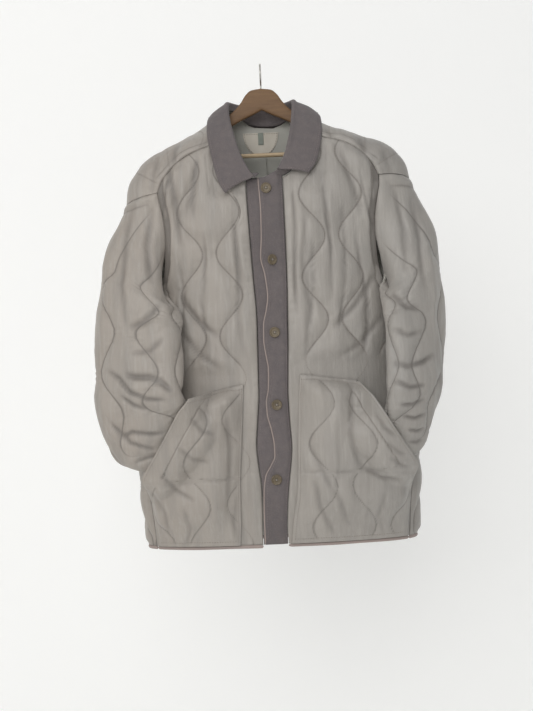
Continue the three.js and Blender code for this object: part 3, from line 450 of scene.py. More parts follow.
def normals_of(grid, round_about=False):
    if round_about:
        wide = np.concatenate([grid[:, -1:], grid, grid[:, :1]], axis=1)
        across = wide[:, 2:] - wide[:, :-2]
    else:
        across = np.gradient(grid, axis=1)
    return unit(np.cross(across, np.gradient(grid, axis=0)))


def ripple(a, b, seed, size):
    """Smooth uneven values from -1 to 1 over two coordinates, about `size` of them across one swell."""
    waves = np.random.default_rng(seed)
    total = np.zeros(np.broadcast(a, b).shape)
    for _ in range(9):
        turn, phase = waves.uniform(0, 2 * np.pi, 2)
        length = size * waves.uniform(0.7, 1.7)
        total += np.sin(2 * np.pi * (a * np.cos(turn) + b * np.sin(turn)) / length + phase)
    return total / 4.5


def pillows(cells, width, along, seed, flow=None, period=1000):
    """Height of quilted cloth: `cells` counts cells, `along` runs in millimetres beside the stitching."""
    line = np.round(cells) % period
    flow = cells * PITCH if flow is None else flow
    off = np.abs(cells - np.round(cells))
    share = np.clip(off * 2, 0, 1)
    dome = (1 - (1 - share) ** 2.3) ** 0.8
    full = PUFF * np.minimum(1.12, width / PITCH)
    uneven = 1 + 0.13 * ripple(flow, along, seed, 95)
    mm_off = off * width
    phase = ripple(line * 211.0, along, seed + 1, 46) * 2.2 + line * 1.7
    pucker = np.sin(along * 2 * np.pi / 17 + 3 * phase)
    pucker = pucker * (0.5 + 0.5 * ripple(line * 97.0, along, seed + 2, 60))
    deep = bell(mm_off - 5, 7.5)
    fine = ripple(mm_off * 0.35 + line * 53, along, seed + 3, 11) * bell(mm_off, 12)
    spread = ripple(flow, along * 0.8, seed + 4, 34) * 0.55 * share
    return full * dome * uneven + (1.15 * pucker * deep + 0.45 * fine + spread) * np.minimum(1, width / 24)


def stitched(cells, width):
    """1 on the lines of quilting and 0 away from them."""
    return bell((cells - np.round(cells)) * width, LINE_HALF)


def falls(a, z, seed, size=34):
    """Soft upright folds of hanging cloth: low rolls, and narrower creases that come and go."""
    rolls = ripple(a, z * 0.13, seed, size)
    bends = ripple(a, z * 0.16, seed + 1, size * 1.5)
    strength = np.clip(ripple(a * 0.6, z * 0.7, seed + 2, 150) * 0.9 + 0.55, 0, 1)
    return 1.5 * rolls * (0.4 + 0.6 * strength) - 1.7 * bell(bends, 0.16) * strength


def creases(points, facing, lines):
    """Push along the normals: each line is (depth, half width, [(x, z), ...]) as seen from the front."""
    flat = points[..., [0, 2]]
    total = np.zeros(points.shape[:-1])
    for depth, half, path in lines:
        path = np.array(path, float)
        nearest = np.full(total.shape, np.inf)
        where = np.zeros(total.shape)
        lengths = np.hypot(*np.diff(path, axis=0).T)
        start = 0.0
        for a, b, length in zip(path[:-1], path[1:], lengths):
            t = np.clip(((flat - a) @ (b - a)) / length**2, 0, 1)
            gap = np.linalg.norm(flat - (a + t[..., None] * (b - a)), axis=-1)
            closer = gap < nearest
            nearest = np.where(closer, gap, nearest)
            where = np.where(closer, start + t * length, where)
            start += length
        share = where / start
        taper = np.clip(share / 0.25, 0, 1) * np.clip((1 - share) / 0.25, 0, 1)
        taper = np.sqrt(taper) * 0.85 + 0.15
        total += depth * taper * bell(nearest, 0.68 * half)
    return total * facing


def fold_shade(lift_in, depth=4.5):
    """How dark a fold's trough is: 0 on flat cloth, 1 where it is pressed in by `depth` or more."""
    return np.clip(-lift_in / depth, 0, 1) ** 1.3


def level_at_foot(out):
    out[0, :, 2] = 0
    return unit(out)


def just_above(grid, out, where, lift=STITCH_LIFT):
    """A line of a grid, lifted off its cloth for stitching, with its directions."""
    return grid[where] + out[where] * lift, out[where]


def outward_mesh(name, positions, faces, materials, picks=None, values=None, smooth_faces=True):
    mesh = bpy.data.meshes.new(name)
    mesh.from_pydata((np.asarray(positions) / 1000).tolist(), [], faces)
    for material in materials:
        mesh.materials.append(material)
    if picks is not None:
        mesh.polygons.foreach_set("material_index", picks)
    mesh.polygons.foreach_set("use_smooth", [smooth_faces] * len(mesh.polygons))
    for key, numbers in (values or {}).items():
        layer = mesh.attributes.new(key, "FLOAT", "POINT")
        layer.data.foreach_set("value", np.asarray(numbers, np.float32).ravel())
    mesh.update()
    made = bpy.data.objects.new(name, mesh)
    bpy.context.scene.collection.objects.link(made)
    return made


def cloth_wall(name, outer, inner, round_about, materials, values=None, inner_step=(2, 2)):
    """A closed wall of cloth from a fine outer grid and a plainer inner one, with rows running up."""
    rows, columns = outer.shape[:2]
    row_picks = sorted(set(range(0, rows, inner_step[0])) | {rows - 1})
    column_picks = sorted(set(range(0, columns, inner_step[1])) | (set() if round_about else {columns - 1}))
    plain = inner[np.ix_(row_picks, column_picks)]
    positions = np.concatenate([outer.reshape(-1, 3), plain.reshape(-1, 3)])
    faces, picks = [], []

    def skin(first, count_rows, count_columns, outward, material):
        ids = first + np.arange(count_rows * count_columns).reshape(count_rows, count_columns)
        turned = np.roll(ids, -1, axis=1) if round_about else None
        a = ids[:-1] if round_about else ids[:-1, :-1]
        b = turned[:-1] if round_about else ids[:-1, 1:]
        c = turned[1:] if round_about else ids[1:, 1:]
        d = ids[1:] if round_about else ids[1:, :-1]
        quads = np.stack([a, b, c, d] if outward else [d, c, b, a], axis=-1).reshape(-1, 4)
        faces.extend(quads.tolist())
        picks.extend([material] * len(quads))
        return ids

    out = skin(0, rows, columns, True, 0)
    within = skin(rows * columns, len(row_picks), len(column_picks), False, 1)

    def zip_rims(back, ahead):
        i = j = 0
        while i < len(back) - 1 or j < len(ahead) - 1:
            behind = i < len(back) - 1 and (i + 1) / (len(back) - 1) <= (j + 1) / max(1, len(ahead) - 1)
            if j >= len(ahead) - 1 or behind:
                faces.append([back[i + 1], back[i], ahead[j]])
                i += 1
            else:
                faces.append([ahead[j], ahead[j + 1], back[i]])
                j += 1
            picks.append(0)

    def loop(ids):
        return [*ids.tolist(), int(ids[0])] if round_about else ids.tolist()

    zip_rims(loop(out[0]), loop(within[0]))
    zip_rims(loop(within[-1]), loop(out[-1]))
    if not round_about:
        zip_rims(within[:, 0].tolist(), out[:, 0].tolist())
        zip_rims(out[:, -1].tolist(), within[:, -1].tolist())
    if values:
        rest = len(plain.reshape(-1, 3))
        values = {k: np.concatenate([np.asarray(v).ravel(), np.zeros(rest)]) for k, v in values.items()}
    return outward_mesh(name, positions, faces, materials, picks, values)


def placed(grid, sign):
    moved = grid * np.array([sign, 1, 1])
    moved[..., 0] += JACKET_SHIFT
    return moved if sign > 0 else moved[:, ::-1]


def facing_way(values, sign):
    return values if sign > 0 else values[:, ::-1]


# Pale grey-taupe nylon with a soft sheen, painted a little warmer on the viewer's left and greyer on the right
# as painted side light.
# Its plain weave is too fine to see, so it shows as faint specks and slight creasing, with vertical streaks of
# painted crease shade and finer streaks of painted sheen.
nylon = Finish("quilted_nylon", (0.36, 0.33, 0.3), Roughness=0.5, Sheen_Weight=0.12, Sheen_Roughness=0.4)
across = nylon.node("ShaderNodeSeparateXYZ", Vector=nylon.place())
# Painted side light: the nylon colour turns warmer and slightly lighter towards the viewer's left and greyer
# towards the right.
painted_side_light = (across * 2.2 + 0.5).clamp()
stain = nylon.noise(7.0, 4.0, 0.6)
speck = nylon.noise(900.0, 2.0, 0.6)
streak_bump_and_painted_shade = nylon.noise(1.0, 5.0, 0.6, nylon.stretched((48.0, 30.0, 5.5)))
painted_sheen_streaks = nylon.noise(1.0, 3.0, 0.6, nylon.stretched((150.0, 100.0, 14.0)))
tone = nylon.blend(painted_side_light, (0.352, 0.31, 0.27), (0.315, 0.3, 0.28))
tone = nylon.blend((stain * 1.8 - 0.65).clamp(), tone, (0.385, 0.352, 0.315))
# Painted crease shade along the vertical streaks, then painted sheen along finer streaks.
tone = nylon.blend((streak_bump_and_painted_shade * 2.2 - 0.95).clamp(0.0, 0.55), tone, (0.262, 0.245, 0.225))
tone = nylon.blend((painted_sheen_streaks * 1.5 - 0.75).clamp(0.0, 0.3), tone, (0.45, 0.42, 0.385))
height = nylon.node("ShaderNodeSeparateXYZ", output=2, Vector=nylon.place())
reach = across.maths("ABSOLUTE", across)
cap_shade = ((reach - 0.15) * 9.0).clamp() * ((height + 0.235) * 14.0).clamp()
tone = nylon.blend((cap_shade * (0.22 + stain * 0.3)).clamp(), tone, (0.17, 0.15, 0.133))
# Painted shade in the quilting grooves and along seams: a sharp dark line on each and a slight broader darkening
# beside it.
line_shade = nylon.attribute("painted_groove_shade")
tone = nylon.blend((line_shade ** 3.0 * 0.75).clamp(), tone, (0.085, 0.075, 0.066))
tone = nylon.blend((line_shade * 0.12).clamp(), tone, (0.2, 0.178, 0.158))
tone = nylon.blend((nylon.attribute("fold_shade") * 0.62).clamp(0.0, 0.75), tone, (0.11, 0.098, 0.088))
tone = nylon.blend((speck * 0.5 - 0.15).clamp(), tone, (0.26, 0.24, 0.218))
crumple = nylon.noise(62.0, 5.0, 0.62)
weave = nylon.noise(1500.0, 1.0, 0.5)
creased = nylon.bump(crumple, 0.003, 0.3, under=nylon.bump(streak_bump_and_painted_shade, 0.006, 0.35))
nylon.feed(
    Base_Color=tone,
    Roughness=(stain * 0.16 + crumple * 0.14 + 0.34).clamp(0.3, 0.75),
    Normal=nylon.bump(weave, 0.0004, 0.25, under=creased),
)

lining = Finish("nylon_lining", (0.42, 0.42, 0.38), Roughness=0.6)
lining_patches = (lining.noise(9.0, 4.0) * 1.4 - 0.3).clamp()
lining.feed(
    Base_Color=lining.blend(lining_patches, (0.4, 0.405, 0.365), (0.5, 0.485, 0.44)),
    Roughness=lining.noise(60.0, 3.0) * 0.2 + 0.5,
    Normal=lining.bump(lining.noise(70.0, 4.0), 0.003, 0.4),
)

# Stitching is made once and used along every sewn line: small thread loops laid end to end.
# Each is a low oval of a few faces, set along its seam by one Geometry Nodes tree.
thread = Finish("sewing_thread", (0.3, 0.265, 0.235), Roughness=0.7)
thread.feed(Roughness=thread.noise(800.0) * 0.2 + 0.6)


def stitch_shape():
    mesh = bpy.data.meshes.new("stitch_shape")
    corners = [(-1, 0, 0), (-0.55, -1, 0.2), (0.55, -1, 0.2), (1, 0, 0), (0.55, 1, 0.2), (-0.55, 1, 0.2)]
    corners += [(-0.5, 0, 1), (0.5, 0, 1)]
    faces = [(0, 1, 6), (1, 2, 7, 6), (2, 3, 7), (3, 4, 7), (4, 5, 6, 7), (5, 0, 6)]
    mesh.from_pydata(corners, [], faces)
    made = bpy.data.objects.new("stitch_shape", mesh)
    return made


one_stitch = stitch_shape()
STITCH_SIZES = {"Stitch Length": 0.0034, "Stitch Width": 0.0008, "Stitch Height": 0.0006, "Gap": 0.0012}


def stitch_tree():
    tree = bpy.data.node_groups.new("stitches_along_seams", "GeometryNodeTree")
    face = tree.interface
    face.new_socket("Geometry", in_out="INPUT", socket_type="NodeSocketGeometry")
    for name, size in STITCH_SIZES.items():
        face.new_socket(name, in_out="INPUT", socket_type="NodeSocketFloat").default_value = size
    face.new_socket("Thread", in_out="INPUT", socket_type="NodeSocketMaterial")
    face.new_socket("Stitch", in_out="INPUT", socket_type="NodeSocketObject")
    face.new_socket("Geometry", in_out="OUTPUT", socket_type="NodeSocketGeometry")
    add, join = tree.nodes.new, tree.links.new
    given, result = add("NodeGroupInput"), add("NodeGroupOutput")
    curve, spaced = add("GeometryNodeMeshToCurve"), add("GeometryNodeResampleCurve")
    points = add("GeometryNodeCurveToPoints")
    spaced.mode = "LENGTH"
    points.mode = "EVALUATED"
    pitch = add("ShaderNodeMath")
    shape, placed_on = add("GeometryNodeObjectInfo"), add("GeometryNodeInstanceOnPoints")
    size = add("ShaderNodeCombineXYZ")
    halves = [add("ShaderNodeMath") for _ in range(2)]
    real, painted = add("GeometryNodeRealizeInstances"), add("GeometryNodeSetMaterial")
    normal, turn = add("GeometryNodeInputNamedAttribute"), add("FunctionNodeAxesToRotation")
    tangent = add("GeometryNodeInputTangent")
    kept = add("GeometryNodeStoreNamedAttribute")
    normal.data_type = kept.data_type = "FLOAT_VECTOR"
    normal.inputs["Name"].default_value = "out_of_cloth"
    kept.inputs["Name"].default_value = "along_seam"
    kept.domain = "POINT"
    along = add("GeometryNodeInputNamedAttribute")
    along.data_type = "FLOAT_VECTOR"
    along.inputs["Name"].default_value = "along_seam"
    turn.primary_axis, turn.secondary_axis = "Z", "X"
    join(given.outputs["Geometry"], curve.inputs[0])
    join(given.outputs["Stitch Length"], pitch.inputs[0])
    join(given.outputs["Gap"], pitch.inputs[1])
    join(curve.outputs[0], spaced.inputs["Curve"])
    join(pitch.outputs[0], spaced.inputs["Length"])
    join(spaced.outputs[0], kept.inputs["Geometry"])
    join(tangent.outputs[0], kept.inputs["Value"])
    join(kept.outputs[0], points.inputs["Curve"])
    join(points.outputs["Points"], placed_on.inputs["Points"])
    join(given.outputs["Stitch"], shape.inputs["Object"])
    join(shape.outputs["Geometry"], placed_on.inputs["Instance"])
    join(normal.outputs[0], turn.inputs[0])
    join(along.outputs[0], turn.inputs[1])
    join(turn.outputs[0], placed_on.inputs["Rotation"])
    for half, name, place in ((halves[0], "Stitch Length", 0), (halves[1], "Stitch Width", 1)):
        half.operation = "MULTIPLY"
        half.inputs[1].default_value = 0.5
        join(given.outputs[name], half.inputs[0])
        join(half.outputs[0], size.inputs[place])
    join(given.outputs["Stitch Height"], size.inputs[2])
    join(size.outputs[0], placed_on.inputs["Scale"])
    join(placed_on.outputs[0], real.inputs[0])
    join(real.outputs[0], painted.inputs["Geometry"])
    join(given.outputs["Thread"], painted.inputs["Material"])
    join(painted.outputs[0], result.inputs[0])
    return tree


stitches = stitch_tree()


def sew(name, lines, colour=None, **sizes):
    """One mesh of stitches along several lines: each line is (points, directions out of the cloth), in mm."""
    positions, outs, edges = [], [], []
    for points, out in lines:
        first = len(positions)
        positions.extend((np.asarray(points) / 1000).tolist())
        outs.extend(np.asarray(out).tolist())
        edges.extend((first + i, first + i + 1) for i in range(len(points) - 1))
    mesh = bpy.data.meshes.new(name + "_lines")
    mesh.from_pydata(positions, edges, [])
    layer = mesh.attributes.new("out_of_cloth", "FLOAT_VECTOR", "POINT")
    layer.data.foreach_set("vector", np.asarray(outs, np.float32).ravel())
    made = bpy.data.objects.new(name, mesh)
    bpy.context.scene.collection.objects.link(made)
    layer = made.modifiers.new("stitches", "NODES")
    layer.node_group = stitches
    sockets = {item.name: item.identifier for item in stitches.interface.items_tree if item.in_out == "INPUT"}
    layer[sockets["Thread"]] = (colour or thread).material
    layer[sockets["Stitch"]] = one_stitch
    for key, size in sizes.items():
        layer[sockets[key.replace("_", " ")]] = size
    whole = bpy.data.meshes.new_from_object(made.evaluated_get(bpy.context.evaluated_depsgraph_get()))
    made.modifiers.clear()
    made.data = whole
    whole.name = name
    return made


def dress(piece, slot, *nodes):
    if nodes:
        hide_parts(*nodes)
    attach(piece, "root")
    return piece


# The two fronts: each is cut to the side seam, the armhole and the forward shoulder seam.
# Drape folds run down from the shoulder and across to the pocket, and the cloth lies flat under the pocket.
pocket_places = {
    "left": {"inner_top": -586, "outer_top": -606, "mouth_top": 156, "mouth_foot": 236, "foot_z": -752},
    "right": {"inner_top": -572, "outer_top": -590, "mouth_top": 150, "mouth_foot": 236, "foot_z": -745},
}
front_creases = {
    "left": [
        (-5, 9, [(-178, -165), (-168, -215), (-160, -270), (-158, -330)]),
        (-4, 8, [(-120, -180), (-132, -240), (-150, -300)]),
        (3.5, 9, [(-150, -180), (-146, -250), (-150, -330)]),
        (-4, 8, [(-160, -420), (-130, -470), (-95, -500)]),
        (-3.5, 7, [(-165, -480), (-130, -530), (-90, -560)]),
        (-3, 7, [(-60, -300), (-52, -380), (-58, -460), (-50, -540)]),
        (-4.5, 5, [(-121, -179), (-127, -216), (-131, -260), (-133, -290)]),
        (-4, 4.5, [(-168, -202), (-178, -228), (-184, -258), (-186, -278)]),
        (-3.5, 4.5, [(-112, -310), (-113, -364), (-121, -432), (-120, -500)]),
        (-3, 4, [(-62, -264), (-57, -327), (-57, -408), (-63, -470)]),
        (-3, 4, [(-159, -362), (-154, -416), (-160, -470)]),
    ],
    "right": [
        (-5, 9, [(190, -150), (196, -210), (200, -280), (205, -350)]),
        (-4, 8, [(130, -160), (150, -220), (172, -290)]),
        (3.5, 9, [(165, -170), (172, -240), (186, -320)]),
        (-4, 8, [(190, -400), (150, -455), (110, -490)]),
        (-3.5, 7, [(200, -470), (160, -520), (110, -550)]),
        (-3, 7, [(70, -290), (62, -370), (70, -450), (60, -540)]),
        (-4.5, 5, [(101, -208), (106, -286), (113, -343), (109, -440)]),
        (-4.5, 5, [(169, -204), (176, -247), (184, -289), (205, -328)]),
        (-4.5, 5, [(157, -329), (166, -394), (173, -427), (169, -522), (154, -550)]),
        (-4, 4.5, [(50, -244), (50, -314), (46, -389), (46, -468)]),
        (-3.5, 4.5, [(134, -272), (138, -335), (133, -416), (122, -496)]),
        (-3, 4, [(79, -333), (78, -414), (71, -485)]),
    ],
}
FRONT_ROWS = np.arange(0, (LOW_ROWS + HIGH_ROWS) * ROWS_PER + 1) / ROWS_PER
FRONT_COLUMNS = np.arange(0, 12 * COLUMNS_PER + 1) / COLUMNS_PER
bases, skins = {}, {}
for side, (sign, crest) in SIDES.items():
    base, width, around = front_half(side, FRONT_ROWS, FRONT_COLUMNS)
    bases["front_" + side] = base
    cells = np.broadcast_to(FRONT_COLUMNS / 3, width.shape)
    height = base[..., 2]
    puff = pillows(cells, width, height, 11 + sign)
    hung = falls(around, height, 211 + sign) * (0.35 + 0.65 * np.clip(puff / PUFF, 0, 1))
    place = pocket_places[side]
    under_pocket = ease(place["inner_top"] + 45, place["inner_top"] + 14, height)
    inner = smooth(POCKET_EDGES, "z", height, side)
    under_pocket = under_pocket * ease(inner - 26, inner - 8, around)
    under_collar = ease(-255, -235, height) * ease(115, 95, around)
    puff = puff * (1 - under_pocket) * (1 - under_collar)
    rows = FRONT_ROWS[:, None]
    puff = puff * ease(0, 0.6, rows) * (1 - ease(LOW_ROWS + HIGH_ROWS - 0.7, LOW_ROWS + HIGH_ROWS, rows))
    puff = puff + hung * (1 - 0.8 * under_pocket) * ease(0, 1.2, rows)
    lines = stitched(cells, width) * (1 - under_pocket)
    body = placed(base, sign)
    out = normals_of(body)
    out[-1] = (0, -1, 0)
    out = level_at_foot(out)
    drape = creases(body, ease(0.1, 0.5, -out[..., 1]), front_creases[side])
    drape = drape * (1 - facing_way(under_pocket, sign))
    lift = np.maximum(CLOTH + facing_way(puff, sign) + np.clip(drape, -9, 9), 1.4)
    outer = body + out * lift[..., None]
    skins["front_" + side] = (outer, out)
    made = cloth_wall(
        "quilted_front_" + side, outer, body, False, [nylon.material, lining.material],
        {"painted_groove_shade": facing_way(lines, sign), "fold_shade": fold_shade(drape)},
    )
    dress(made, "nylon", "front_" + side)

# The back is one piece that comes forward over both shoulders to a seam on the chest.
# It hangs from the hanger's arms, falls past the tips of the arms, and widens towards the hem.
BACK_ROWS = np.arange(0, (LOW_ROWS + HIGH_ROWS + OVER_ROWS) * ROWS_PER + 1) / ROWS_PER
BACK_COLUMNS = np.arange(0, 15 * COLUMNS_PER + 1) / COLUMNS_PER
SEAM_ROW = 11
halves = {}
for side, (sign, crest) in SIDES.items():
    base, width, around = back_half(side, BACK_ROWS, BACK_COLUMNS)
    bases["back_" + side] = base
    cells = np.broadcast_to(BACK_COLUMNS / 3, width.shape)
    over = BACK_ROWS[:, None] > LOW_ROWS + HIGH_ROWS
    steps = np.linalg.norm(np.diff(base, axis=0), axis=-1)
    along = base[0, :, 2] + np.concatenate([np.zeros((1, base.shape[1])), np.cumsum(steps, axis=0)])
    share = np.clip((BACK_COLUMNS - SHOULDER_FIRST) / 11, 0, 1)[None, :]
    flatter = 1 - over * (0.6 + 0.3 * ease(0.8, 1, share))
    puff = pillows(cells, width, along, 23 + sign) * flatter
    puff = puff + falls(around, along, 223 + sign) * np.clip(puff / PUFF + 0.3, 0, 1)
    low_neck = ease(-165, -130, base[..., 2]) * (1 - ease(0.1, 0.3, share))
    near_neck = np.where(over, 1 - ease(0.06, 0.3, share), low_neck)
    last = LOW_ROWS + HIGH_ROWS + OVER_ROWS
    puff = puff * (1 - near_neck) * ease(0, 0.6, BACK_ROWS)[:, None]
    puff = puff * (1 - ease(last - 0.8, last, BACK_ROWS))[:, None]
    lines = stitched(cells, width) * (1 - near_neck) * (1 - 0.45 * over)
    to_seam = along[-1] - along
    puff = puff + 1.5 * bell(to_seam - 5, 3.6) * over - 0.5 * bell(to_seam - SEAM_ROW, 2) * over
    lines = np.maximum(lines, bell(to_seam - SEAM_ROW, 1.8) * over * 0.9)
    halves[side] = [base, puff, lines]
for side, sign in (("right", 1), ("left", -1)):
    halves[side][0] = halves[side][0] * np.array([sign, 1, 1]) + np.array([JACKET_SHIFT, 0, 0])
body, puff, lines = (
    np.concatenate([right[:, ::-1], left[:, 1:]], axis=1) for right, left in zip(halves["right"], halves["left"])
)
out = normals_of(body)
out[-1][body[-1][:, 1] < -20] = (0, -1, 0)
out = level_at_foot(out)
back_creases = [
    (-4, 10, [(-150, -200), (-120, -300), (-60, -380), (0, -420)]),
    (-4, 10, [(160, -190), (130, -290), (80, -380), (20, -430)]),
    (-3, 9, [(-200, -450), (-140, -540), (-120, -640)]),
    (-3, 9, [(205, -450), (150, -550), (120, -660)]),
    (3, 12, [(-60, -500), (-70, -650), (-60, -860)]),
    (3, 12, [(80, -520), (70, -680), (85, -860)]),
]
shoulder_creases = [
    (-3.5, 7, [(-90, -125), (-105, -150), (-112, -175)]),
    (-4, 8, [(-150, -140), (-160, -160), (-163, -190)]),
    (-3, 7, [(-190, -170), (-200, -200), (-205, -235)]),
    (-3.5, 7, [(110, -125), (122, -145), (128, -165)]),
    (-4, 8, [(170, -140), (178, -165), (180, -185)]),
    (-3, 7, [(215, -175), (222, -200), (226, -225)]),
]
drape = creases(body, ease(0.1, 0.5, out[..., 1]), back_creases)
drape = drape + creases(body, ease(-0.1, 0.4, -out[..., 1]), shoulder_creases)
lift = np.maximum(CLOTH + puff + np.clip(drape, -8, 8), 1.4)
outer = body + out * lift[..., None]
skins["back"] = (outer, out)
quilted_back = cloth_wall(
    "quilted_back", outer, body, False, [nylon.material, lining.material],
    {"painted_groove_shade": lines, "fold_shade": fold_shade(drape)},
)
dress(quilted_back, "nylon", "back")

# The quilting stitches of the fronts and the back lie in the lines between the pillows.
quilting = []
for side, (sign, crest) in SIDES.items():
    skin = [facing_way(part, sign) for part in skins["front_" + side]]
    for line in range(1, 4):
        quilting.append(just_above(*skin, np.s_[4:-3, line * 3 * COLUMNS_PER]))
middle = skins["back"][0].shape[1] // 2
for line in range(-4, 5):
    quilting.append(just_above(*skins["back"], np.s_[4:-2, middle + line * 3 * COLUMNS_PER]))
dress(sew("quilting_stitches", quilting), "nylon")

# The sleeves are tubes, quilted lengthways, set into dropped armholes.
# They hang down, bend forward at the elbow, and their cuffs are tucked into the pockets.
SLEEVE_ROWS = 29
RING_STEP = 58
FINE_ROW, FINE_COLUMN = 6, 5
RINGS = {
    "left": table(
        "t xo zo yo xi zi yi depth",
        (0, 262, -240, -4, 205, -425, -20, 96), (1, 282, -305, 2, 190, -440, -62, 96),
        (2, 298, -363, -2, 180, -452, -80, 92), (3, 310, -425, -8, 174, -470, -92, 86),
        (4, 318, -485, -16, 172, -498, -102, 80), (5, 321, -549, -30, 172, -548, -110, 74),
        (6, 321, -600, -50, 174, -590, -114, 68), (7, 309, -667, -66, 166, -612, -104, 52),
        (8, 284, -716, -76, 160, -634, -94, 36), (9, 248, -731, -80, 150, -650, -89, 28),
        (10, 212, -742, -86, 134, -666, -88, 22),
    ),
    "right": table(
        "t xo zo yo xi zi yi depth",
        (0, 262, -222, -4, 205, -418, -20, 96), (1, 280, -290, 8, 208, -432, -66, 92),
        (2, 291, -352, 10, 209, -445, -82, 84), (3, 298, -418, 8, 209, -468, -94, 76),
        (4, 300, -480, 2, 209, -500, -104, 70), (5, 296, -545, -12, 208, -555, -112, 66),
        (6, 286, -600, -36, 204, -602, -118, 62), (7, 272, -652, -50, 196, -638, -108, 48),
        (8, 262, -698, -62, 184, -660, -96, 36), (9, 240, -724, -74, 164, -668, -89, 28),
        (10, 208, -738, -84, 142, -678, -88, 22),
    ),
}


def armhole(side):
    front_edge = bases["front_" + side][::ROWS_PER, -1]
    back_edge = bases["back_" + side][::ROWS_PER, -1]
    over = back_edge[LOW_ROWS + HIGH_ROWS + 1:-1]
    half = len(over) // 2
    up_back = back_edge[LOW_ROWS:LOW_ROWS + HIGH_ROWS + 1]
    return np.concatenate([over[half:], front_edge[LOW_ROWS + 1:][::-1], up_back, over[:half]])


def ring_point(rings, t, angle):
    value = {name: smooth(rings, "t", t, name) for name in rings}
    outer = np.stack([value["xo"], value["yo"], value["zo"]], -1)
    inner = np.stack([value["xi"], value["yi"], value["zi"]], -1)
    middle, half = (outer + inner) / 2, (outer - inner) / 2
    level = np.hypot(half[..., 0], half[..., 1])
    thick = np.stack([half[..., 1] / level, -half[..., 0] / level, 0 * level], -1)
    thick = thick * value["depth"][..., None] / 2
    return middle + half * np.cos(angle)[..., None] + thick * np.sin(angle)[..., None]


def clear_of_body(points, side, share, lift):
    flat = points.reshape(-1, 3)
    z = flat[:, 2]
    front_x, front_y, _ = section(z, True)
    back_x, back_y, _ = section(z, False)
    x = np.concatenate([front_x, back_x[:, ::-1]], axis=1)
    y = np.concatenate([front_y, back_y[:, ::-1]], axis=1)
    next_x, next_y = np.roll(x, -1, axis=1), np.roll(y, -1, axis=1)
    px, py = flat[:, :1], flat[:, 1:2]
    rise = np.where(next_y == y, 1e-9, next_y - y)
    crossed = ((y > py) != (next_y > py)) & (px < x + (next_x - x) * (py - y) / rise)
    inside = crossed.sum(axis=1) % 2 == 1
    dx, dy = next_x - x, next_y - y
    length = np.hypot(dx, dy)
    skip = (length < 1e-6) | ((length > 30) & (z[:, None] > ARMPIT))
    skip[:, -1] = True
    safe = np.where(length < 1e-6, 1, length)
    t = np.clip(((px - x) * dx + (py - y) * dy) / safe**2, 0, 1)
    gap = np.where(skip, np.inf, np.hypot(px - x - t * dx, py - y - t * dy))
    best = gap.argmin(axis=1)
    pick = np.arange(len(flat))
    distance = gap[pick, best]
    push_x, push_y = dy[pick, best] / safe[pick, best], -dx[pick, best] / safe[pick, best]
    outer_top = pocket_places[side]["outer_top"]
    under = ease(outer_top + 25, outer_top, z)
    need = (CLOTH * 2 + lift.ravel() + 0.8 + PUFF * 1.1 * (1 - under)) * share.ravel()
    have = np.where(inside, -distance, distance)
    push = np.where((have >= need) | (inside & (distance > 60)), 0, need - have)
    moved = flat + np.stack([push_x * push, push_y * push, 0 * push], -1)
    return moved.reshape(points.shape)


sleeve_creases = {
    "left": [
        (-7, 8, [(-258, -560), (-240, -565), (-216, -566), (-198, -574), (-180, -592)]),
        (-6, 6, [(-290, -552), (-270, -566), (-252, -590), (-222, -603), (-190, -604)]),
        (-5, 6, [(-268, -596), (-248, -612), (-225, -620)]),
        (-5.5, 6, [(-272, -668), (-252, -660), (-220, -664), (-198, -664)]),
        (-5, 6, [(-300, -628), (-284, -650), (-255, -680), (-215, -694)]),
        (-4.5, 5, [(-252, -716), (-232, -708), (-210, -704)]),
        (4, 9, [(-304, -600), (-288, -660), (-262, -700), (-238, -726)]),
        (-4, 8, [(-205, -260), (-218, -330), (-212, -400)]),
        (-4, 8, [(-240, -250), (-256, -320), (-262, -400), (-256, -470)]),
        (-5, 8, [(-196, -440), (-222, -468), (-250, -478)]),
        (-4, 7, [(-190, -500), (-214, -520), (-244, -522)]),
        (3, 8, [(-288, -330), (-296, -430), (-298, -520)]),
    ],
    "right": [
        (-6, 7, [(214, -560), (236, -566), (262, -560), (280, -548)]),
        (-5.5, 6, [(212, -590), (236, -602), (264, -600)]),
        (-5, 5, [(220, -630), (242, -632), (262, -624)]),
        (-5, 5, [(224, -652), (244, -656), (262, -650)]),
        (-4.5, 5, [(232, -676), (248, -680), (260, -676)]),
        (-4.5, 5, [(236, -700), (248, -702), (258, -697)]),
        (-4, 8, [(230, -240), (246, -320), (244, -400)]),
        (-4, 8, [(262, -260), (272, -340), (272, -430)]),
        (-5, 8, [(218, -440), (240, -462), (262, -466)]),
        (-4, 7, [(216, -500), (238, -512), (262, -506)]),
        (3, 8, [(284, -320), (290, -420), (286, -510)]),
    ],
}
LAPS = {"left": 11, "right": 7}
sleeve_fronts = {}
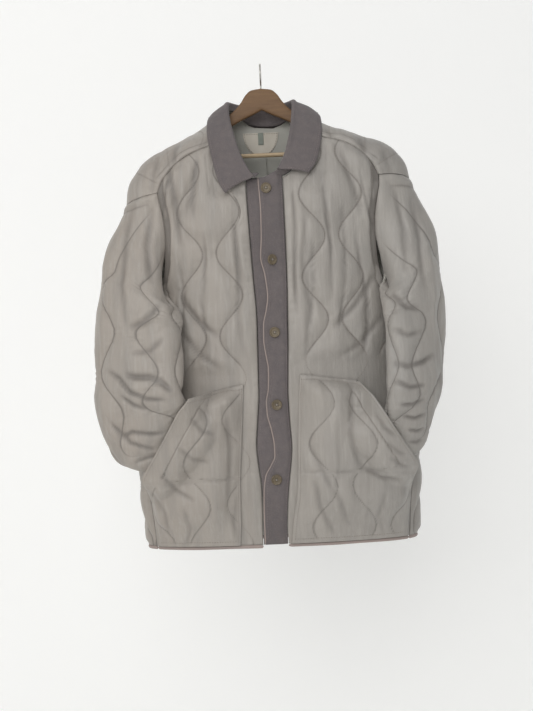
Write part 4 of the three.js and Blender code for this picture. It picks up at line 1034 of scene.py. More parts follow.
for side, (sign, crest) in SIDES.items():
    loop = armhole(side)
    count = len(loop)
    k = np.arange(count * FINE_COLUMN) / FINE_COLUMN
    rows = np.arange(SLEEVE_ROWS * FINE_ROW + 1) / FINE_ROW
    t = np.broadcast_to(10 * (1 - rows / SLEEVE_ROWS)[:, None], (len(rows), len(k)))
    ring = np.broadcast_to(2 * np.pi * k / count, t.shape)
    closed = np.append(loop, loop[:1], axis=0)
    rim = np.stack([np.interp(k, np.arange(count + 1), closed[:, i]) for i in range(3)], -1)
    fade = 1 - ease(0, 1.4, t)
    cells = np.broadcast_to(k * 6 / count, t.shape)
    along = t * RING_STEP
    swing = 0.3 * np.cos(2 * np.pi * along / WAVE) * ease(0, 2, t)
    cell = np.floor(cells)
    low = np.where(cell % 2 == 0, swing, -swing)
    angle = ring + mix(low, -low, cells - cell)
    width = PITCH * (1 - 2 * low * 3 / math.pi)
    spot = ring_point(RINGS[side], t, angle)
    start = ring_point(RINGS[side], 0 * t, ring)
    under = ease(-0.35, -0.9, np.cos(ring))
    upper = ease(0.6, 0.95, np.cos(ring))
    away = np.stack([under * 8 + 1.2 * (1 - upper / 2), 0 * under, -1.2 * upper], -1)
    spot = spot + (rim - start + away) * fade[..., None]
    lap = ease(0.1, 0.8, np.sin(angle)) * ease(0.45, -0.5, np.cos(angle))
    lap = lap * ease(0.1, 1.0, t) * ease(4.4, 2.2, t)
    spot[..., 0] -= LAPS[side] * lap
    hidden = 1 - 0.75 * ease(-0.1, -0.8, np.sin(angle)) * ease(0.5, -0.5, np.cos(angle))
    squeezed = 1 - 0.85 * ease(7.4, 8.8, t)
    plain_puff = PUFF * np.sin(np.pi * (cells - cell)) * np.minimum(1.15, width / PITCH)
    plain_puff = plain_puff * 0.85 * (1 - 0.8 * fade)
    spot = clear_of_body(spot, side, ease(0.1, 1.2, t), plain_puff * hidden * squeezed)
    for _ in range(10):
        level = (np.roll(spot, 1, axis=1) + np.roll(spot, -1, axis=1)) / 4 + spot / 2
        level[1:-1] = (level[:-2] + level[2:]) / 4 + level[1:-1] / 2
        spot = mix(spot, level, (ease(0.15, 0.9, t) * ease(10, 9.5, t))[..., None])
    mid_ring = spot[:, :, 0] * 0.8 + spot[:, :, 1]
    puff = pillows(cells, width, along, 41 + sign, mid_ring, 6) * 0.9 * (1 - 0.75 * fade) * hidden * squeezed
    hung = falls(mid_ring, -along, 241 + sign) * (0.35 + 0.65 * np.clip(puff / PUFF, 0, 1))
    hung = hung * hidden * squeezed
    puff = (puff + hung * ease(0, 0.8, t)) * ease(0, 0.05, t) * ease(0, 0.1, 10 - t)
    lines = stitched(cells, width) * squeezed * ease(0.1, 0.5, t)
    ridge = bell(along - 8, 5.5) * ease(-0.4, 0.2, np.cos(ring))
    seam_line = bell(along - 17, 3.5) * ease(0.3, 0.85, np.cos(ring))
    puff = puff + ridge * (2.0 + 0.8 * ripple(mid_ring, t, 261, 14)) - seam_line * 0.8
    lines = np.maximum(lines, seam_line * 0.85)
    # seen from outside the columns run the other way round on the viewer's right
    base = placed(spot[:, ::-1], sign)
    puff, lines = facing_way(puff[:, ::-1], sign), facing_way(lines[:, ::-1], sign)
    out = normals_of(base, True)
    drape = creases(base, ease(0.0, 0.45, -out[..., 1]), sleeve_creases[side])
    lift = np.maximum(CLOTH + puff + np.clip(drape, -9, 6), 1.2)
    outer = base + out * lift[..., None]
    sleeve_fronts[side] = (base + out * (CLOTH + 4))[::3, ::3].reshape(-1, 3)
    made = cloth_wall(
        "quilted_sleeve_" + side, outer, base, True, [nylon.material, lining.material],
        {"painted_groove_shade": lines, "fold_shade": fold_shade(drape)},
    )
    dress(made, "nylon", "sleeve_" + side)

# The patch pockets are sewn on at the foot, the inner side and the top, with a slanted open mouth.
# A faced band with one row of stitching follows the mouth, and the tucked cuff pushes the patch out.
POCKET_LIFT = 1.3
POCKET_SWELL = 22
CUFF_ROUND = 22
FOOT_SHARE = 0.45
BAND_WIDTH = 31


def front_surface(x, z):
    """Points of the plain front at distances x from the centre and heights z, with their directions."""
    rows_x, rows_y, _ = section(z.ravel(), True)
    x = x.ravel()

    def depth(at):
        return np.array([np.interp(at[i], rows_x[i], rows_y[i]) for i in range(len(at))])

    slope = (depth(x + 4) - depth(x - 4)) / 8
    out = unit(np.stack([slope, -np.ones_like(slope), 0 * slope], -1))
    return np.stack([x, depth(x), z.ravel()], -1), out


pocket_creases = {
    "left": [
        (-3.5, 6, [(-150, -640), (-130, -665), (-110, -672)]),
        (-3, 6, [(-175, -690), (-150, -712), (-120, -722)]),
        (-3.5, 7, [(-205, -740), (-180, -770), (-150, -790)]),
        (-3, 7, [(-225, -770), (-205, -810), (-200, -850)]),
        (-3, 8, [(-90, -620), (-84, -700), (-92, -790)]),
        (2.5, 9, [(-120, -690), (-112, -760), (-118, -850)]),
        (-2.5, 6, [(-170, -800), (-160, -840), (-168, -868)]),
        (-3, 7, [(-70, -780), (-82, -830), (-76, -868)]),
    ],
    "right": [
        (-3.5, 6, [(178, -648), (190, -672), (214, -690)]),
        (-3, 6, [(196, -700), (214, -716), (228, -722)]),
        (-3, 6, [(200, -724), (216, -738), (232, -744)]),
        (-3.5, 7, [(150, -740), (184, -760), (222, -766)]),
        (-3, 7, [(60, -700), (86, -760), (110, -800), (124, -850)]),
        (-3.5, 7, [(66, -760), (74, -810), (96, -860)]),
        (-3, 8, [(140, -600), (132, -680), (146, -740)]),
        (2.5, 9, [(100, -640), (104, -720), (96, -800)]),
        (-2.5, 7, [(190, -790), (178, -830), (186, -866)]),
    ],
}
pocket_seams = []
for side, (sign, crest) in SIDES.items():
    place = pocket_places[side]
    up = np.linspace(0, 1, 105)[:, None]
    out_share = np.linspace(0, 1, 73)[None, :]
    rise = np.where(up < FOOT_SHARE, up / FOOT_SHARE, (up - FOOT_SHARE) / (1 - FOOT_SHARE))
    low = up < FOOT_SHARE
    outer_z = np.where(low, mix(HEM, place["foot_z"], rise), mix(place["foot_z"], place["outer_top"], rise))
    seam_x = side_seam(outer_z)[0] - 4
    mouth_x = mix(place["mouth_foot"], place["mouth_top"], rise)
    outer_x = np.where(low, mix(seam_x, place["mouth_foot"], rise**2), mouth_x)
    inner = smooth(POCKET_EDGES, "z", mix(HEM, place["inner_top"], up), side)
    x = mix(inner, outer_x, out_share)
    z = mix(mix(HEM, place["inner_top"], up), outer_z, out_share)
    sway = 10 * np.sin(2 * np.pi * (z - crest) / WAVE) * np.sin(np.pi * out_share)
    at_x = x + sway * np.sin(np.pi * up)
    surface, plain_out = front_surface(at_x, z)
    closed = 1 - ease(0.84, 1, out_share) * (1 - ease(FOOT_SHARE - 0.1, FOOT_SHARE + 0.05, up))
    fill = ease(0, 0.3, out_share) * ease(0.03, 0.3, up) * (1 - ease(0.9, 1, up)) * closed
    surface = surface + plain_out * (CLOTH + POCKET_LIFT + POCKET_SWELL * fill).reshape(-1, 1)
    cuff = sleeve_fronts[side] - np.array([JACKET_SHIFT, 0, 0])
    cuff = cuff[cuff[:, 2] < -560] * np.array([sign, 1, 1])
    reach = np.empty(len(surface))
    for i in range(0, len(surface), 512):
        part = surface[i:i + 512]
        far = (cuff[None, :, 0] - part[:, None, 0]) ** 2 + (cuff[None, :, 2] - part[:, None, 2]) ** 2
        reach[i:i + 512] = (cuff[None, :, 1] + far / (2 * CUFF_ROUND)).min(axis=1)
    surface[:, 1] = np.minimum(surface[:, 1], reach - 2 * POCKET_LIFT)
    base = surface.reshape(*x.shape, 3)
    for _ in range(6):
        base[1:-1, 1:-1, 1] = (
            base[1:-1, 1:-1, 1] * 2 + base[:-2, 1:-1, 1] + base[2:, 1:-1, 1]
            + base[1:-1, :-2, 1] + base[1:-1, 2:, 1]
        ) / 6
    line_first = quilt_line(1, z, LINE_START, crest)
    cells = 1 + (at_x - line_first) / PITCH
    for k in (1, 2, 3):
        a, b = quilt_line(k, z, LINE_START, crest), quilt_line(k + 1, z, LINE_START, crest)
        cells = np.where((at_x >= a) & (at_x < b), k + (at_x - a) / (b - a), cells)
    width = np.full(z.shape, float(PITCH))
    mouth_gap = (outer_x - at_x) * ease(FOOT_SHARE - 0.03, FOOT_SHARE + 0.03, up)
    mouth_gap = mouth_gap + 99 * (up < FOOT_SHARE - 0.03)
    band = ease(BAND_WIDTH + 3, BAND_WIDTH - 3, mouth_gap)
    rims = np.broadcast_arrays(up * 270, (1 - up) * 270, at_x - inner, outer_x - at_x)
    edge = np.minimum.reduce(rims)
    puff = pillows(cells, width, z, 61 + sign) * 0.6 * (1 - band) * ease(0, 14, edge)
    band_line = bell(mouth_gap - BAND_WIDTH, 1.7) * ease(0.98, 0.9, up)
    puff = puff + band * 1.3 * ease(0, 5, mouth_gap) - 1.0 * band_line
    lines = stitched(cells, width) * (1 - band) * ease(0, 10, edge)
    body = placed(base, sign)
    out = level_at_foot(normals_of(body))
    drape = creases(body, 1.0, pocket_creases[side]) * facing_way(ease(0, 12, edge), sign)
    ruck = ripple(body[..., 0], body[..., 2] * 0.5, 71 + sign, 30) * 0.7 * facing_way(ease(0, 10, edge), sign)
    lift = np.maximum(CLOTH + facing_way(puff, sign) + np.clip(drape, -6, 5) + ruck, 1.0)
    outer = body + out * lift[..., None]
    skins["pocket_" + side] = (outer, out)
    made = cloth_wall(
        "patch_pocket_" + side, outer, body, False, [nylon.material, lining.material],
        {"painted_groove_shade": facing_way(np.maximum(lines, band_line), sign), "fold_shade": fold_shade(drape)},
    )
    dress(made, "nylon", "pocket_" + side)
    "quilted_front_" + side
    skin = [facing_way(outer, sign), facing_way(out, sign)]
    upper = int(FOOT_SHARE * 104) + 3
    mouth_rows = np.arange(upper, 102)
    mouth_columns = np.abs(mouth_gap[mouth_rows] - BAND_WIDTH).argmin(axis=1)
    for where in (
        (mouth_rows, mouth_columns), np.s_[101, 2:71], np.s_[3, 2:69], np.s_[3:102, 2], np.s_[upper:102, 70],
    ):
        pocket_seams.append(just_above(*skin, where))
pocket_stitching = sew("pocket_stitching", pocket_seams)
dress(pocket_stitching, "nylon")

# The bound hem: a narrow pinkish tape folded over the raw edge of each panel and sewn through.
# It is softly ribbed across and follows the fall of the hem.
tape = Finish("hem_tape", (0.34, 0.27, 0.245), Roughness=0.75)
tape_rib = tape.noise(420.0, 2.0)
tape_worn = (tape.noise(14.0, 3.0) * 1.5 - 0.3).clamp()
tape.feed(
    Base_Color=tape.blend(tape_worn, (0.36, 0.29, 0.262), (0.28, 0.235, 0.218)),
    Roughness=tape_rib * 0.2 + 0.65,
    Normal=tape.bump(tape_rib, 0.0006, 0.5),
)


def face_outwards(made):
    loose = bmesh.new()
    loose.from_mesh(made.data)
    bmesh.ops.recalc_face_normals(loose, faces=loose.faces)
    loose.to_mesh(made.data)
    loose.free()
    return made


def tube_along(name, centres, across, up, radii, material, sides=12):
    """A closed soft tube along centres: radii are its half width across and its half height."""
    ring = np.linspace(0, 2 * np.pi, sides, endpoint=False)
    positions, faces = [], []
    for i, centre in enumerate(centres):
        full = min(1.0, 0.35 + 0.4 * min(i, len(centres) - 1 - i))
        for a in ring:
            level = across[i] * radii[0] * full * np.cos(a)
            positions.append(centre + level + up[i] * radii[1] * full * np.sin(a))
    count = len(centres)
    for i in range(count - 1):
        for j in range(sides):
            n = (j + 1) % sides
            faces.append([i * sides + j, i * sides + n, (i + 1) * sides + n, (i + 1) * sides + j])
    faces.append(list(range(sides))[::-1])
    faces.append([(count - 1) * sides + j for j in range(sides)])
    return face_outwards(outward_mesh(name, positions, faces, [material]))


hem_lines = {
    "left": placed(bases["front_left"][:1], -1)[0],
    "right": placed(bases["front_right"][:1], 1)[0],
    "back": np.concatenate([
        placed(bases["back_right"][:1, ::-1], 1)[0], placed(bases["back_left"][:1, ::-1], -1)[0][1:],
    ]),
}
for name, line in hem_lines.items():
    run = np.gradient(line, axis=0)
    out = unit(np.stack([run[:, 1], -run[:, 0], 0 * run[:, 0]], -1))
    lean = np.array([0, 0, 1.0]) + 0 * out
    wave = 0.7 * np.sin(line[:, 0] / 19.0) * np.array([[0], [0], [1]])
    centres = line + out * 1.3 + np.array([0, 0, -3.1]) + wave.T * 0.35
    made = tube_along("hem_tape_" + name, centres, out, lean, (2.1, 3.2), tape.material)
    dress(made, "binding", "binding_" + name)
    panel = "quilted_back" if name == "back" else "quilted_front_" + name

# The front strips are boiled wool, mauve-grey with a short nap, the viewer's right one over the left one.
# The top strip's free edge wanders and is bound with a thin pinkish edge.
wool = Finish("boiled_wool", (0.14, 0.12, 0.118), Roughness=0.95, Sheen_Weight=0.15, Sheen_Roughness=0.5)
nap = wool.noise(420.0, 4.0, 0.65)
felted = wool.noise(85.0, 4.0, 0.6)
faded = wool.noise(11.0, 3.0)
wool_tone = wool.blend((faded * 1.8 - 0.5).clamp(), (0.135, 0.115, 0.112), (0.175, 0.15, 0.148))
wool_tone = wool.blend((felted * 1.4 - 0.35).clamp(), wool_tone, (0.105, 0.094, 0.098))
wool_tone = wool.blend((nap * 2.2 - 1.25).clamp(), wool_tone, (0.27, 0.24, 0.24))
wool.feed(
    Base_Color=wool_tone,
    Roughness=nap * 0.1 + 0.88,
    Normal=wool.bump(nap, 0.0011, 0.7, under=wool.bump(felted, 0.0022, 0.5)),
)
STRIP = 2.2
WOOL_STITCH_LIFT = 0.2
STRIP_TOP = -222
OVERLAP = table(
    "z x",
    (-882, -27), (-818, -26.5), (-780, -25), (-752, -20.8), (-734, -11), (-716, -3), (-700, -3),
    (-670, -7), (-640, -13.5), (-620, -14), (-595, -9.5), (-558, -8), (-543, -10), (-508, -14),
    (-480, -13), (-456, -7.5), (-430, -3.5), (-391, -7), (-360, -13), (-325, -10.5), (-280, -9.5), (-222, -12),
)
STRIP_LIFT = STRIP + 3 * SEAM


def strip(name, edge_from, edge_to, lift_at, seed, node):
    z = np.linspace(HEM, STRIP_TOP, 180)[:, None]
    share = np.linspace(0, 1, 25)[None, :]
    x = mix(edge_from(z), edge_to(z), share)
    z = z + (5 + 15 * ease(-8, 34, x)) * ease(STRIP_TOP - 70, STRIP_TOP, z)
    y = smooth(TORSO, "z", z, "front") + 0.0008 * x**2
    base = np.stack(np.broadcast_arrays(x, y - lift_at(share), z), -1)
    out = level_at_foot(normals_of(base))
    soft = ripple(base[..., 0], base[..., 2] * 0.6, seed, 42) * 0.45
    rim = ease(0, 0.06, share) * ease(1, 0.94, share)
    lift = STRIP * (0.55 + 0.45 * rim) + soft * rim
    outer = base + out * lift[..., None]
    made = cloth_wall(name, outer, base, False, [wool.material, wool.material])
    dress(made, "wool", node)
    return outer, out


overlap_edge = lambda z: smooth(OVERLAP, "z", z, "x")
under_seam = lambda z: JACKET_SHIFT + 3 * SEAM - smooth(FRONT_EDGES, "z", z, "left")
over_seam = lambda z: JACKET_SHIFT - 3 * SEAM + smooth(FRONT_EDGES, "z", z, "right")
under_end = lambda z: np.minimum(8, mix(overlap_edge(z), over_seam(z), 0.6))
under_face = strip(
    "wool_strip_under", under_seam, under_end, lambda share: 0 * share, 81, "placket_under",
)
over_face = strip(
    "wool_strip_over", overlap_edge, over_seam, lambda share: STRIP_LIFT * (1 - ease(0.75, 1, share)), 82,
    "placket_over",
)
edge_points = over_face[0][:, 0] + np.array([-0.6, 0.4, 0])
edge_out = over_face[1][:, 0]
edging = tube_along(
    "strip_edging", edge_points, np.array([1.0, 0, 0]) + 0 * edge_out, edge_out, (1.3, 1.5), tape.material, 8,
)
dress(edging, "binding")
strip_lines = [
    just_above(*face, np.s_[4:-3, c], WOOL_STITCH_LIFT)
    for face, c in ((over_face, 3), (over_face, 22), (under_face, 3))
]
wool_thread = Finish("wool_thread", (0.24, 0.2, 0.2), Roughness=0.8)
wool_thread.feed(Roughness=wool_thread.noise(700.0) * 0.2 + 0.7)
strip_stitching = sew("strip_stitching", strip_lines, wool_thread)
dress(strip_stitching, "wool")

# The shirt collar: one doubled piece of the same wool, standing round the neck and falling over its roll.
# Its points lie open on the fronts, the viewer's right one higher, and its edge is topstitched.
STATIONS = table(
    "t lean rx ry rz ex ey ez",
    (0, 2, 0, 47, -70, 0, 62, -124), (1, 1, 38, 38, -67, 62, 57, -112), (2, -2, 63, -2, -66, 102, 8, -92),
    (3, -3, 60, -30, -102, 105, -42, -127), (4, -2, 52, -62, -145, 98, -66, -172),
    (5, -1, 42, -77, -181, 91, -78, -206), (6, 1, 31, -83, -205, 84, -82, -229),
    (7, 2, 23, -85, -217, 75, -83, -244),
)
COLLAR_THICK = 2.2
fall_points = np.concatenate([skins[n][0].reshape(-1, 3) for n in ("front_left", "front_right", "back")])
fall_outs = np.concatenate([skins[n][1].reshape(-1, 3) for n in ("front_left", "front_right", "back")])
near = (np.abs(fall_points[:, 0]) < 150) & (fall_points[:, 2] > -270)
fall_points, fall_outs = fall_points[near], fall_outs[near]


def lift_off(p, gap):
    """Move points out of the cloth that they lie on, along the direction of its nearest points."""
    p = p.copy()
    for i in range(len(p)):
        far = ((fall_points - p[i]) ** 2).sum(axis=1)
        n = int(far.argmin())
        off = float((p[i] - fall_points[n]) @ fall_outs[n])
        if off < gap:
            p[i] += fall_outs[n] * (gap - off)
    return p


def neck_seam(side, share):
    sign = SIDES[side][0]
    back_edge = bases["back_" + side][-1, :4 * COLUMNS_PER]
    front_edge = bases["front_" + side][-1, :NECK_COLUMN * COLUMNS_PER + 1][::-1]
    middle = front_edge[-1] * np.array([0, 1, 1]) + np.array([15, 0, 0])
    line = np.concatenate([back_edge, front_edge, middle[None]]) * np.array([sign, 1, 1])
    line[:, 0] += JACKET_SHIFT
    run = np.concatenate([[0], np.cumsum(np.linalg.norm(np.diff(line, axis=0), axis=1))])
    spot = np.array([np.interp(share * run[-1], run, line[:, i]) for i in range(3)])
    spot = spot + unit(np.array([JACKET_SHIFT, -30, -100]) - spot)
    arm = float(smooth(HANGER_TOP, "x", abs(spot[0]) - 5, "z")) + 6
    spot[2] += max(0.0, arm - spot[2]) * float(ease(16, 8, abs(spot[1])))
    return spot


halfway = 64
profiles = []
for c in range(-halfway, halfway + 1):
    t = abs(c) / halfway * 7
    value = {name: float(smooth(STATIONS, "t", t, name)) for name in STATIONS}
    sign = -1 if c < 0 else 1
    settle = float(ease(3, 7, t)) if c > 0 else 0.0
    seam = neck_seam("left" if c < 0 else "right", t / 7)
    roll = np.array([value["rx"] * sign + value["lean"], value["ry"], value["rz"] + settle * 13])
    edge = np.array([value["ex"] * sign + 3, value["ey"], value["ez"] + settle * 30])
    flat_out = unit(np.array([edge[0] - roll[0], edge[1] - roll[1], 0]))
    rise = np.array([0, 0, 1.0])
    bulge = unit(flat_out + rise) * 3.4
    under = roll - flat_out * 2.2 - rise * 2.0
    over = roll + flat_out * 2.2 - rise * 2.0
    path = [mix(seam, under, s) for s in np.linspace(0, 1, 9)]
    for a in np.linspace(150, 30, 5):
        turn = math.radians(a)
        path.append(roll - rise * 2.0 + flat_out * 2.4 * math.cos(turn) + rise * 2.6 * math.sin(turn))
    fall = [mix(over, edge, s) + bulge * math.sin(math.pi * s) for s in np.linspace(0.04, 1, 17)]
    path.extend(fall)
    profiles.append(np.array(path))
collar_base = np.stack(profiles, axis=1)
shape = collar_base.shape
for _ in range(10):
    collar_base[:, 1:-1] = (collar_base[:, 1:-1] * 2 + collar_base[:, :-2] + collar_base[:, 2:]) / 4
collar_base[14:] = lift_off(collar_base[14:].reshape(-1, 3), 1.6).reshape(collar_base[14:].shape)
for _ in range(3):
    collar_base[15:-1, 1:-1] = (
        collar_base[15:-1, 1:-1] * 2 + collar_base[14:-2, 1:-1] + collar_base[16:, 1:-1]
        + collar_base[15:-1, :-2] + collar_base[15:-1, 2:]
    ) / 6
out = normals_of(collar_base)
row = np.arange(shape[0])[:, None]
column = np.arange(shape[1])[None, :]
rim = ease(0, 1.6, shape[0] - 1 - row) * ease(0, 1.6, np.minimum(column, shape[1] - 1 - column))
soft = ripple(column * 4.2, row * 5.0, 91, 48) * 0.5
ridge_line = np.exp(-(((shape[0] - 2.2 - row) / 0.8) ** 2)) * 0.35
thick = COLLAR_THICK * (0.5 + 0.5 * rim) + soft * rim - ridge_line
collar_top = collar_base + out * thick[..., None]
collar = cloth_wall(
    "wool_collar", collar_top, collar_base, False, [wool.material, wool.material], inner_step=(1, 2),
)
dress(collar, "wool", "collar")
collar_lines = [
    just_above(collar_top, out, where, WOOL_STITCH_LIFT)
    for where in (np.s_[-3, 3:-3], np.s_[16:-2, 2], np.s_[16:-2, -3])
]
collar_stitching = sew("collar_stitching", collar_lines, wool_thread)
dress(collar_stitching, "wool")

# Five horn buttons with a raised rim and four holes, sewn on with crossed thread.
# They sit along the top strip's free edge, and the second one hangs tilted on its thread.
horn = Finish("horn", (0.13, 0.1, 0.06), Roughness=0.4)
streak = horn.noise(90.0, 5.0, 0.6, horn.stretched((1.0, 1.0, 0.35)))
horn_tone = horn.blend((streak * 1.9 - 0.5).clamp(), (0.06, 0.044, 0.026), (0.15, 0.115, 0.068))
horn.feed(
    Base_Color=horn.blend((horn.noise(600.0) * 0.8 - 0.25).clamp(), horn_tone, (0.33, 0.265, 0.17)),
    Roughness=streak * 0.25 + 0.3,
    Normal=horn.bump(horn.noise(900.0, 3.0), 0.0003, 0.3),
)
BUTTON_SPOTS = ((1, -236), (6, -365), (5.5, -495), (3.5, -625), (-2.5, -759))
BUTTON_RADIUS = 9.5
BUTTON_PROFILE = [
    (8.6, 0.0), (9.2, 0.25), (9.5, 0.9), (9.5, 1.6), (9.35, 2.4), (9.0, 2.9), (8.4, 3.1), (7.7, 2.95),
    (7.1, 2.5), (6.7, 2.15), (6.2, 2.0), (5.2, 1.9),
]


def button_mesh(name):
    whole = bmesh.new()
    sides = 72
    rings = []
    for radius, height in BUTTON_PROFILE:
        ring = []
        for i in range(sides):
            a = 2 * math.pi * i / sides
            ring.append(whole.verts.new((radius * math.cos(a), radius * math.sin(a), height)))
        rings.append(ring)
    for a, b in zip(rings[:-1], rings[1:]):
        for i in range(sides):
            n = (i + 1) % sides
            whole.faces.new((a[i], a[n], b[n], b[i]))
    whole.faces.new(rings[0][::-1])
    whole.faces.new(rings[-1])
    mesh = bpy.data.meshes.new(name)
    whole.to_mesh(mesh)
    whole.free()
    made = bpy.data.objects.new(name, mesh)
    drill = bmesh.new()
    for k in range(4):
        a = math.pi / 4 + k * math.pi / 2
        spot = Vector((2.2 * math.cos(a), 2.2 * math.sin(a), 1.2))
        hole = bmesh.ops.create_cone(drill, cap_ends=True, segments=20, radius1=0.9, radius2=1.05, depth=5)
        bmesh.ops.translate(drill, verts=hole["verts"], vec=spot)
    drills = bpy.data.meshes.new(name + "_holes")
    drill.to_mesh(drills)
    drill.free()
    cutter = bpy.data.objects.new(name + "_holes", drills)
    for thing in (made, cutter):
        bpy.context.scene.collection.objects.link(thing)
    cut = made.modifiers.new("holes", "BOOLEAN")
    cut.object = cutter
    cut.operation = "DIFFERENCE"
    shaped = bpy.data.meshes.new_from_object(made.evaluated_get(bpy.context.evaluated_depsgraph_get()))
    made.modifiers.clear()
    made.data = shaped
    bpy.data.objects.remove(cutter)
    return made


def threads(name, spot, turn, tilt):
    """Crossed sewing thread through the four holes: three soft strands on each pair."""
    centres = []
    for k in range(2):
        a = math.pi / 4 + k * math.pi / 2 + turn
        for shift in (-0.35, 0.0, 0.35):
            side = Vector((-math.sin(a), math.cos(a), 0)) * shift
            strand = []
            for s in np.linspace(-1, 1, 13):
                lift = 2.0 + 0.75 * (1 - abs(s) ** 3) + k * 0.25 - 1.6 * max(0.0, abs(s) - 0.85) / 0.15
                strand.append(Vector((math.cos(a), math.sin(a), 0)) * 2.2 * s + side + Vector((0, 0, lift)))
            centres.append(strand)
    parts = []
    for i, strand in enumerate(centres):
        line = np.array([tuple(spot + tilt @ p) for p in strand])
        run = unit(np.gradient(line, axis=0))
        up = unit(np.cross(run, np.cross(np.array([[0, -1.0, 0]]) + 0 * run, run)))
        across = np.cross(run, up)
        parts.append(tube_along(f"{name}_{i}", line, across, up, (0.27, 0.27), thread.material, 8))
    for part in parts[1:]:
        first = bmesh.new()
        first.from_mesh(parts[0].data)
        first.from_mesh(part.data)
        first.to_mesh(parts[0].data)
        first.free()
        bpy.data.objects.remove(part)
    parts[0].name = name
    return parts[0]


for n, (middle, level) in enumerate(BUTTON_SPOTS):
    near = np.array([level - BUTTON_RADIUS, level, level + BUTTON_RADIUS], float)
    back_y = float(smooth(TORSO, "z", near, "front").min()) - STRIP_LIFT - STRIP - 0.5
    spot = Vector((middle, back_y - (0, 3.4, 0, 0, 0)[n], level))
    turn = (0.1, 0.5, -0.15, 0.25, 0.0)[n]
    leaning = Vector(((0.02, 0.62, -0.02, 0.03, 0.0)[n], (0.0, -0.06, 0.02, 0.02, -0.02)[n], 0))
    tilt = (Vector((0, -1, 0)) + Vector((leaning.x, 0, leaning.y))).to_track_quat("Z", "Y").to_matrix()
    made = button_mesh(f"horn_button_{n + 1}")
    c, s = math.cos(turn), math.sin(turn)
    for vertex in made.data.vertices:
        x, y, z = vertex.co
        vertex.co = (spot + tilt @ Vector((x * c - y * s, x * s + y * c, z))) / 1000
    made.data.materials.clear()
    made.data.materials.append(horn.material)
    made.data.polygons.foreach_set("use_smooth", [True] * len(made.data.polygons))
    made.data.set_sharp_from_angle(angle=math.radians(50))
    dress(made, "horn", f"button_{n + 1}")
    dress(threads(f"button_thread_{n + 1}", spot, turn, tilt), "horn")

# Inside the back of the neck lies a cream woven patch with a folded grey-green tab, both left bare.
# The patch has a straight top and a rounded foot, and is sewn down all round.
cream = Finish("woven_patch", (0.62, 0.57, 0.49), Roughness=0.75)
cream_weave = cream.noise(900.0, 2.0)
cream_worn = (cream.noise(38.0, 4.0) * 1.5 - 0.35).clamp()
cream.feed(
    Base_Color=cream.blend(cream_worn, (0.74, 0.695, 0.61), (0.63, 0.57, 0.485)),
    Roughness=cream_weave * 0.2 + 0.65,
    Normal=cream.bump(cream_weave, 0.0004, 0.4),
)
sage = Finish("folded_tab", (0.34, 0.37, 0.33), Roughness=0.8)
sage_worn = (sage.noise(70.0, 3.0) * 1.4 - 0.3).clamp()
sage.feed(
    Base_Color=sage.blend(sage_worn, (0.36, 0.39, 0.345), (0.27, 0.3, 0.262)),
    Roughness=sage.noise(600.0) * 0.2 + 0.7,
    Normal=sage.bump(sage.noise(700.0, 2.0), 0.0005, 0.4),
)
NECK_PIECE_X = JACKET_SHIFT - 9
NECK_PIECE_TOP = -118


def neck_piece(name, foot, half_at, lift, thickness, steps, material, seed):
    """A thin flat piece on the inside of the back, as wide at each height as half_at says."""
    share = np.linspace(0, 1, steps[1])[:, None]
    across = np.linspace(-1, 1, steps[0])[None, :]
    z = mix(foot, NECK_PIECE_TOP, share)
    half = half_at(share)
    x = across * half + 0 * z
    back_x, back_y, _ = section(np.broadcast_to(z, x.shape).ravel(), False)
    depth = np.array([np.interp(abs(v), back_x[i], back_y[i]) for i, v in enumerate(x.ravel())])
    depth = depth.reshape(x.shape)
    curl = 0.8 * ripple(x, z, seed, 30)
    base = np.stack([x + NECK_PIECE_X, depth - lift, np.broadcast_to(z, x.shape)], -1)
    rim = ease(0, 0.08, 1 - np.abs(across)) * ease(0, 0.08, share) * ease(1, 0.92, share)
    rise = thickness * (0.6 + 0.4 * rim) + np.clip(curl, -0.3, 0.9) * rim
    outer = base - np.array([0, 1, 0]) * rise[..., None]
    made = cloth_wall(name, outer, base, False, [material, material])
    return made, outer


patch, patch_face = neck_piece(
    "bare_neck_patch", -160, lambda s: np.maximum(3, 33 * np.sqrt(np.clip(1 - (1 - s) ** 2, 0, 1))), 0.9, 1.0,
    (81, 41), cream.material, 101,
)
dress(patch, "patch", "neck_patch")
tab = neck_piece("neck_tab", -140, lambda s: 5 + 0 * s, 2.3, 1.2, (17, 25), sage.material, 102)[0]
dress(tab, "tab", "neck_loop")
face_way = lambda line: np.array([[0, -1.0, 0]]) + 0 * line
rim_lines = [patch_face[3:-2, 3], patch_face[3:-2, -4], patch_face[-3, 3:-3], patch_face[4, 6:-6]]
patch_stitching = sew("patch_stitching", [(line + [0, -0.2, 0], face_way(line)) for line in rim_lines])
dress(patch_stitching, "patch")

# The hanger is one shaped board of waxed beech with rounded edges and a round rail between its arms.
# Its grain runs along the arms, and the pale rail is let into the board at both ends.
beech = Finish("waxed_beech", (0.13, 0.072, 0.034), Roughness=0.6)
grain_place = beech.stretched((9.0, 120.0, 120.0))
grain = beech.noise(1.6, 6.0, 0.62, grain_place)
pores = beech.noise(9.0, 3.0, 0.7, beech.stretched((12.0, 260.0, 260.0)))
wood_tone = beech.blend((grain * 2.2 - 0.6).clamp(), (0.135, 0.07, 0.029), (0.2, 0.112, 0.05))
wood_tone = beech.blend((pores * 2.0 - 1.05).clamp(), wood_tone, (0.07, 0.034, 0.016))
beech.feed(
    Base_Color=wood_tone,
    Roughness=grain * 0.2 + 0.48,
    Normal=beech.bump(grain, 0.0006, 0.35, under=beech.bump(pores, 0.0003, 0.3)),
)
FOOT_LINE = table(
    "x z",
    (0, -82.5), (18, -91.5), (36, -99.5), (56, -110), (80, -125), (130, -154), (186, -184), (200, -184),
)
stations_x = np.concatenate([-np.linspace(204, 0, 86), np.linspace(0, 204, 86)[1:]])
profile = []
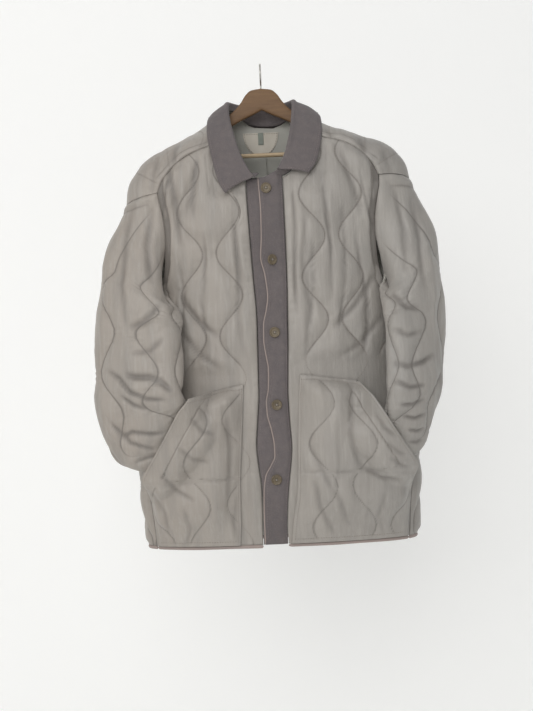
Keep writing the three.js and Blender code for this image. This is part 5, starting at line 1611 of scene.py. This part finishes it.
for x in stations_x:
    top = float(smooth(HANGER_TOP, "x", abs(x), "z"))
    foot = float(smooth(FOOT_LINE, "x", min(abs(x), 200), "z"))
    tip = float(ease(204, 192, abs(x)))
    middle, half = (top + foot) / 2, max(1.2, (top - foot) / 2 * (0.35 + 0.65 * tip))
    ring = []
    for k in range(40):
        a = 2 * math.pi * k / 40
        c, s = math.cos(a), math.sin(a)
        power = 0.42
        depth = 6.5 * (0.5 + 0.5 * tip) * np.sign(c) * abs(c) ** power
        ring.append((x, depth, middle + half * np.sign(s) * abs(s) ** power))
    profile.append(ring)
profile = np.array(profile)
ids = np.arange(profile.shape[0] * 40).reshape(-1, 40)
next_ids = np.roll(ids, -1, axis=1)
faces = np.stack([ids[:-1], ids[1:], next_ids[1:], next_ids[:-1]], -1).reshape(-1, 4).tolist()
faces.append(ids[0].tolist())
faces.append(ids[-1][::-1].tolist())
board = face_outwards(outward_mesh("hanger_board", profile.reshape(-1, 3), faces, [beech.material]))
dress(board, "wood", "hanger")

rail_wood = Finish("pale_rail", (0.5, 0.37, 0.22), Roughness=0.5)
rail_grain = rail_wood.noise(2.0, 5.0, 0.6, rail_wood.stretched((10.0, 150.0, 150.0)))
rail_wood.feed(
    Base_Color=rail_wood.blend((rail_grain * 2.0 - 0.5).clamp(), (0.42, 0.3, 0.17), (0.58, 0.45, 0.29)),
    Roughness=rail_grain * 0.2 + 0.4,
    Normal=rail_wood.bump(rail_grain, 0.0004, 0.3),
)
rail_x = np.linspace(-163, 163, 60)
rail_line = np.stack([rail_x, 0 * rail_x, -166 + 0 * rail_x], -1)
level = np.array([[0, 1.0, 0]]) + 0 * rail_line
upright = np.array([[0, 0, 1.0]]) + 0 * rail_line
rail = tube_along("hanger_rail", rail_line, level, upright, (4, 4), rail_wood.material, 32)
dress(rail, "dowel", "hanger_bar")

# The hook is plated steel wire, screwed into the board, and its loop is seen edge-on from the front.
steel = Finish("plated_wire", (0.52, 0.5, 0.47), Metallic=1.0, Roughness=0.3)
steel.feed(
    Roughness=steel.noise(400.0, 3.0) * 0.25 + 0.2,
    Normal=steel.bump(steel.noise(500.0, 3.0), 0.0002, 0.3),
)
wire_line = [(0, 0, -44.5), (0, 0, -41), (0, 0, -38.5), (0, 0, -36.8)]
for a in np.radians(np.linspace(-75, 155, 48)):
    wire_line.append((0, -18 * math.cos(a), -16.3 + 18 * math.sin(a)))
wire_line = np.array(wire_line, float)
run = unit(np.gradient(wire_line, axis=0))
level = np.array([[1.0, 0, 0]]) + 0 * run
wire = tube_along("hook_wire", wire_line, level, unit(np.cross(run, level)), (1.7, 1.7), steel.material, 20)
dress(wire, "wire", "hanger_hook")
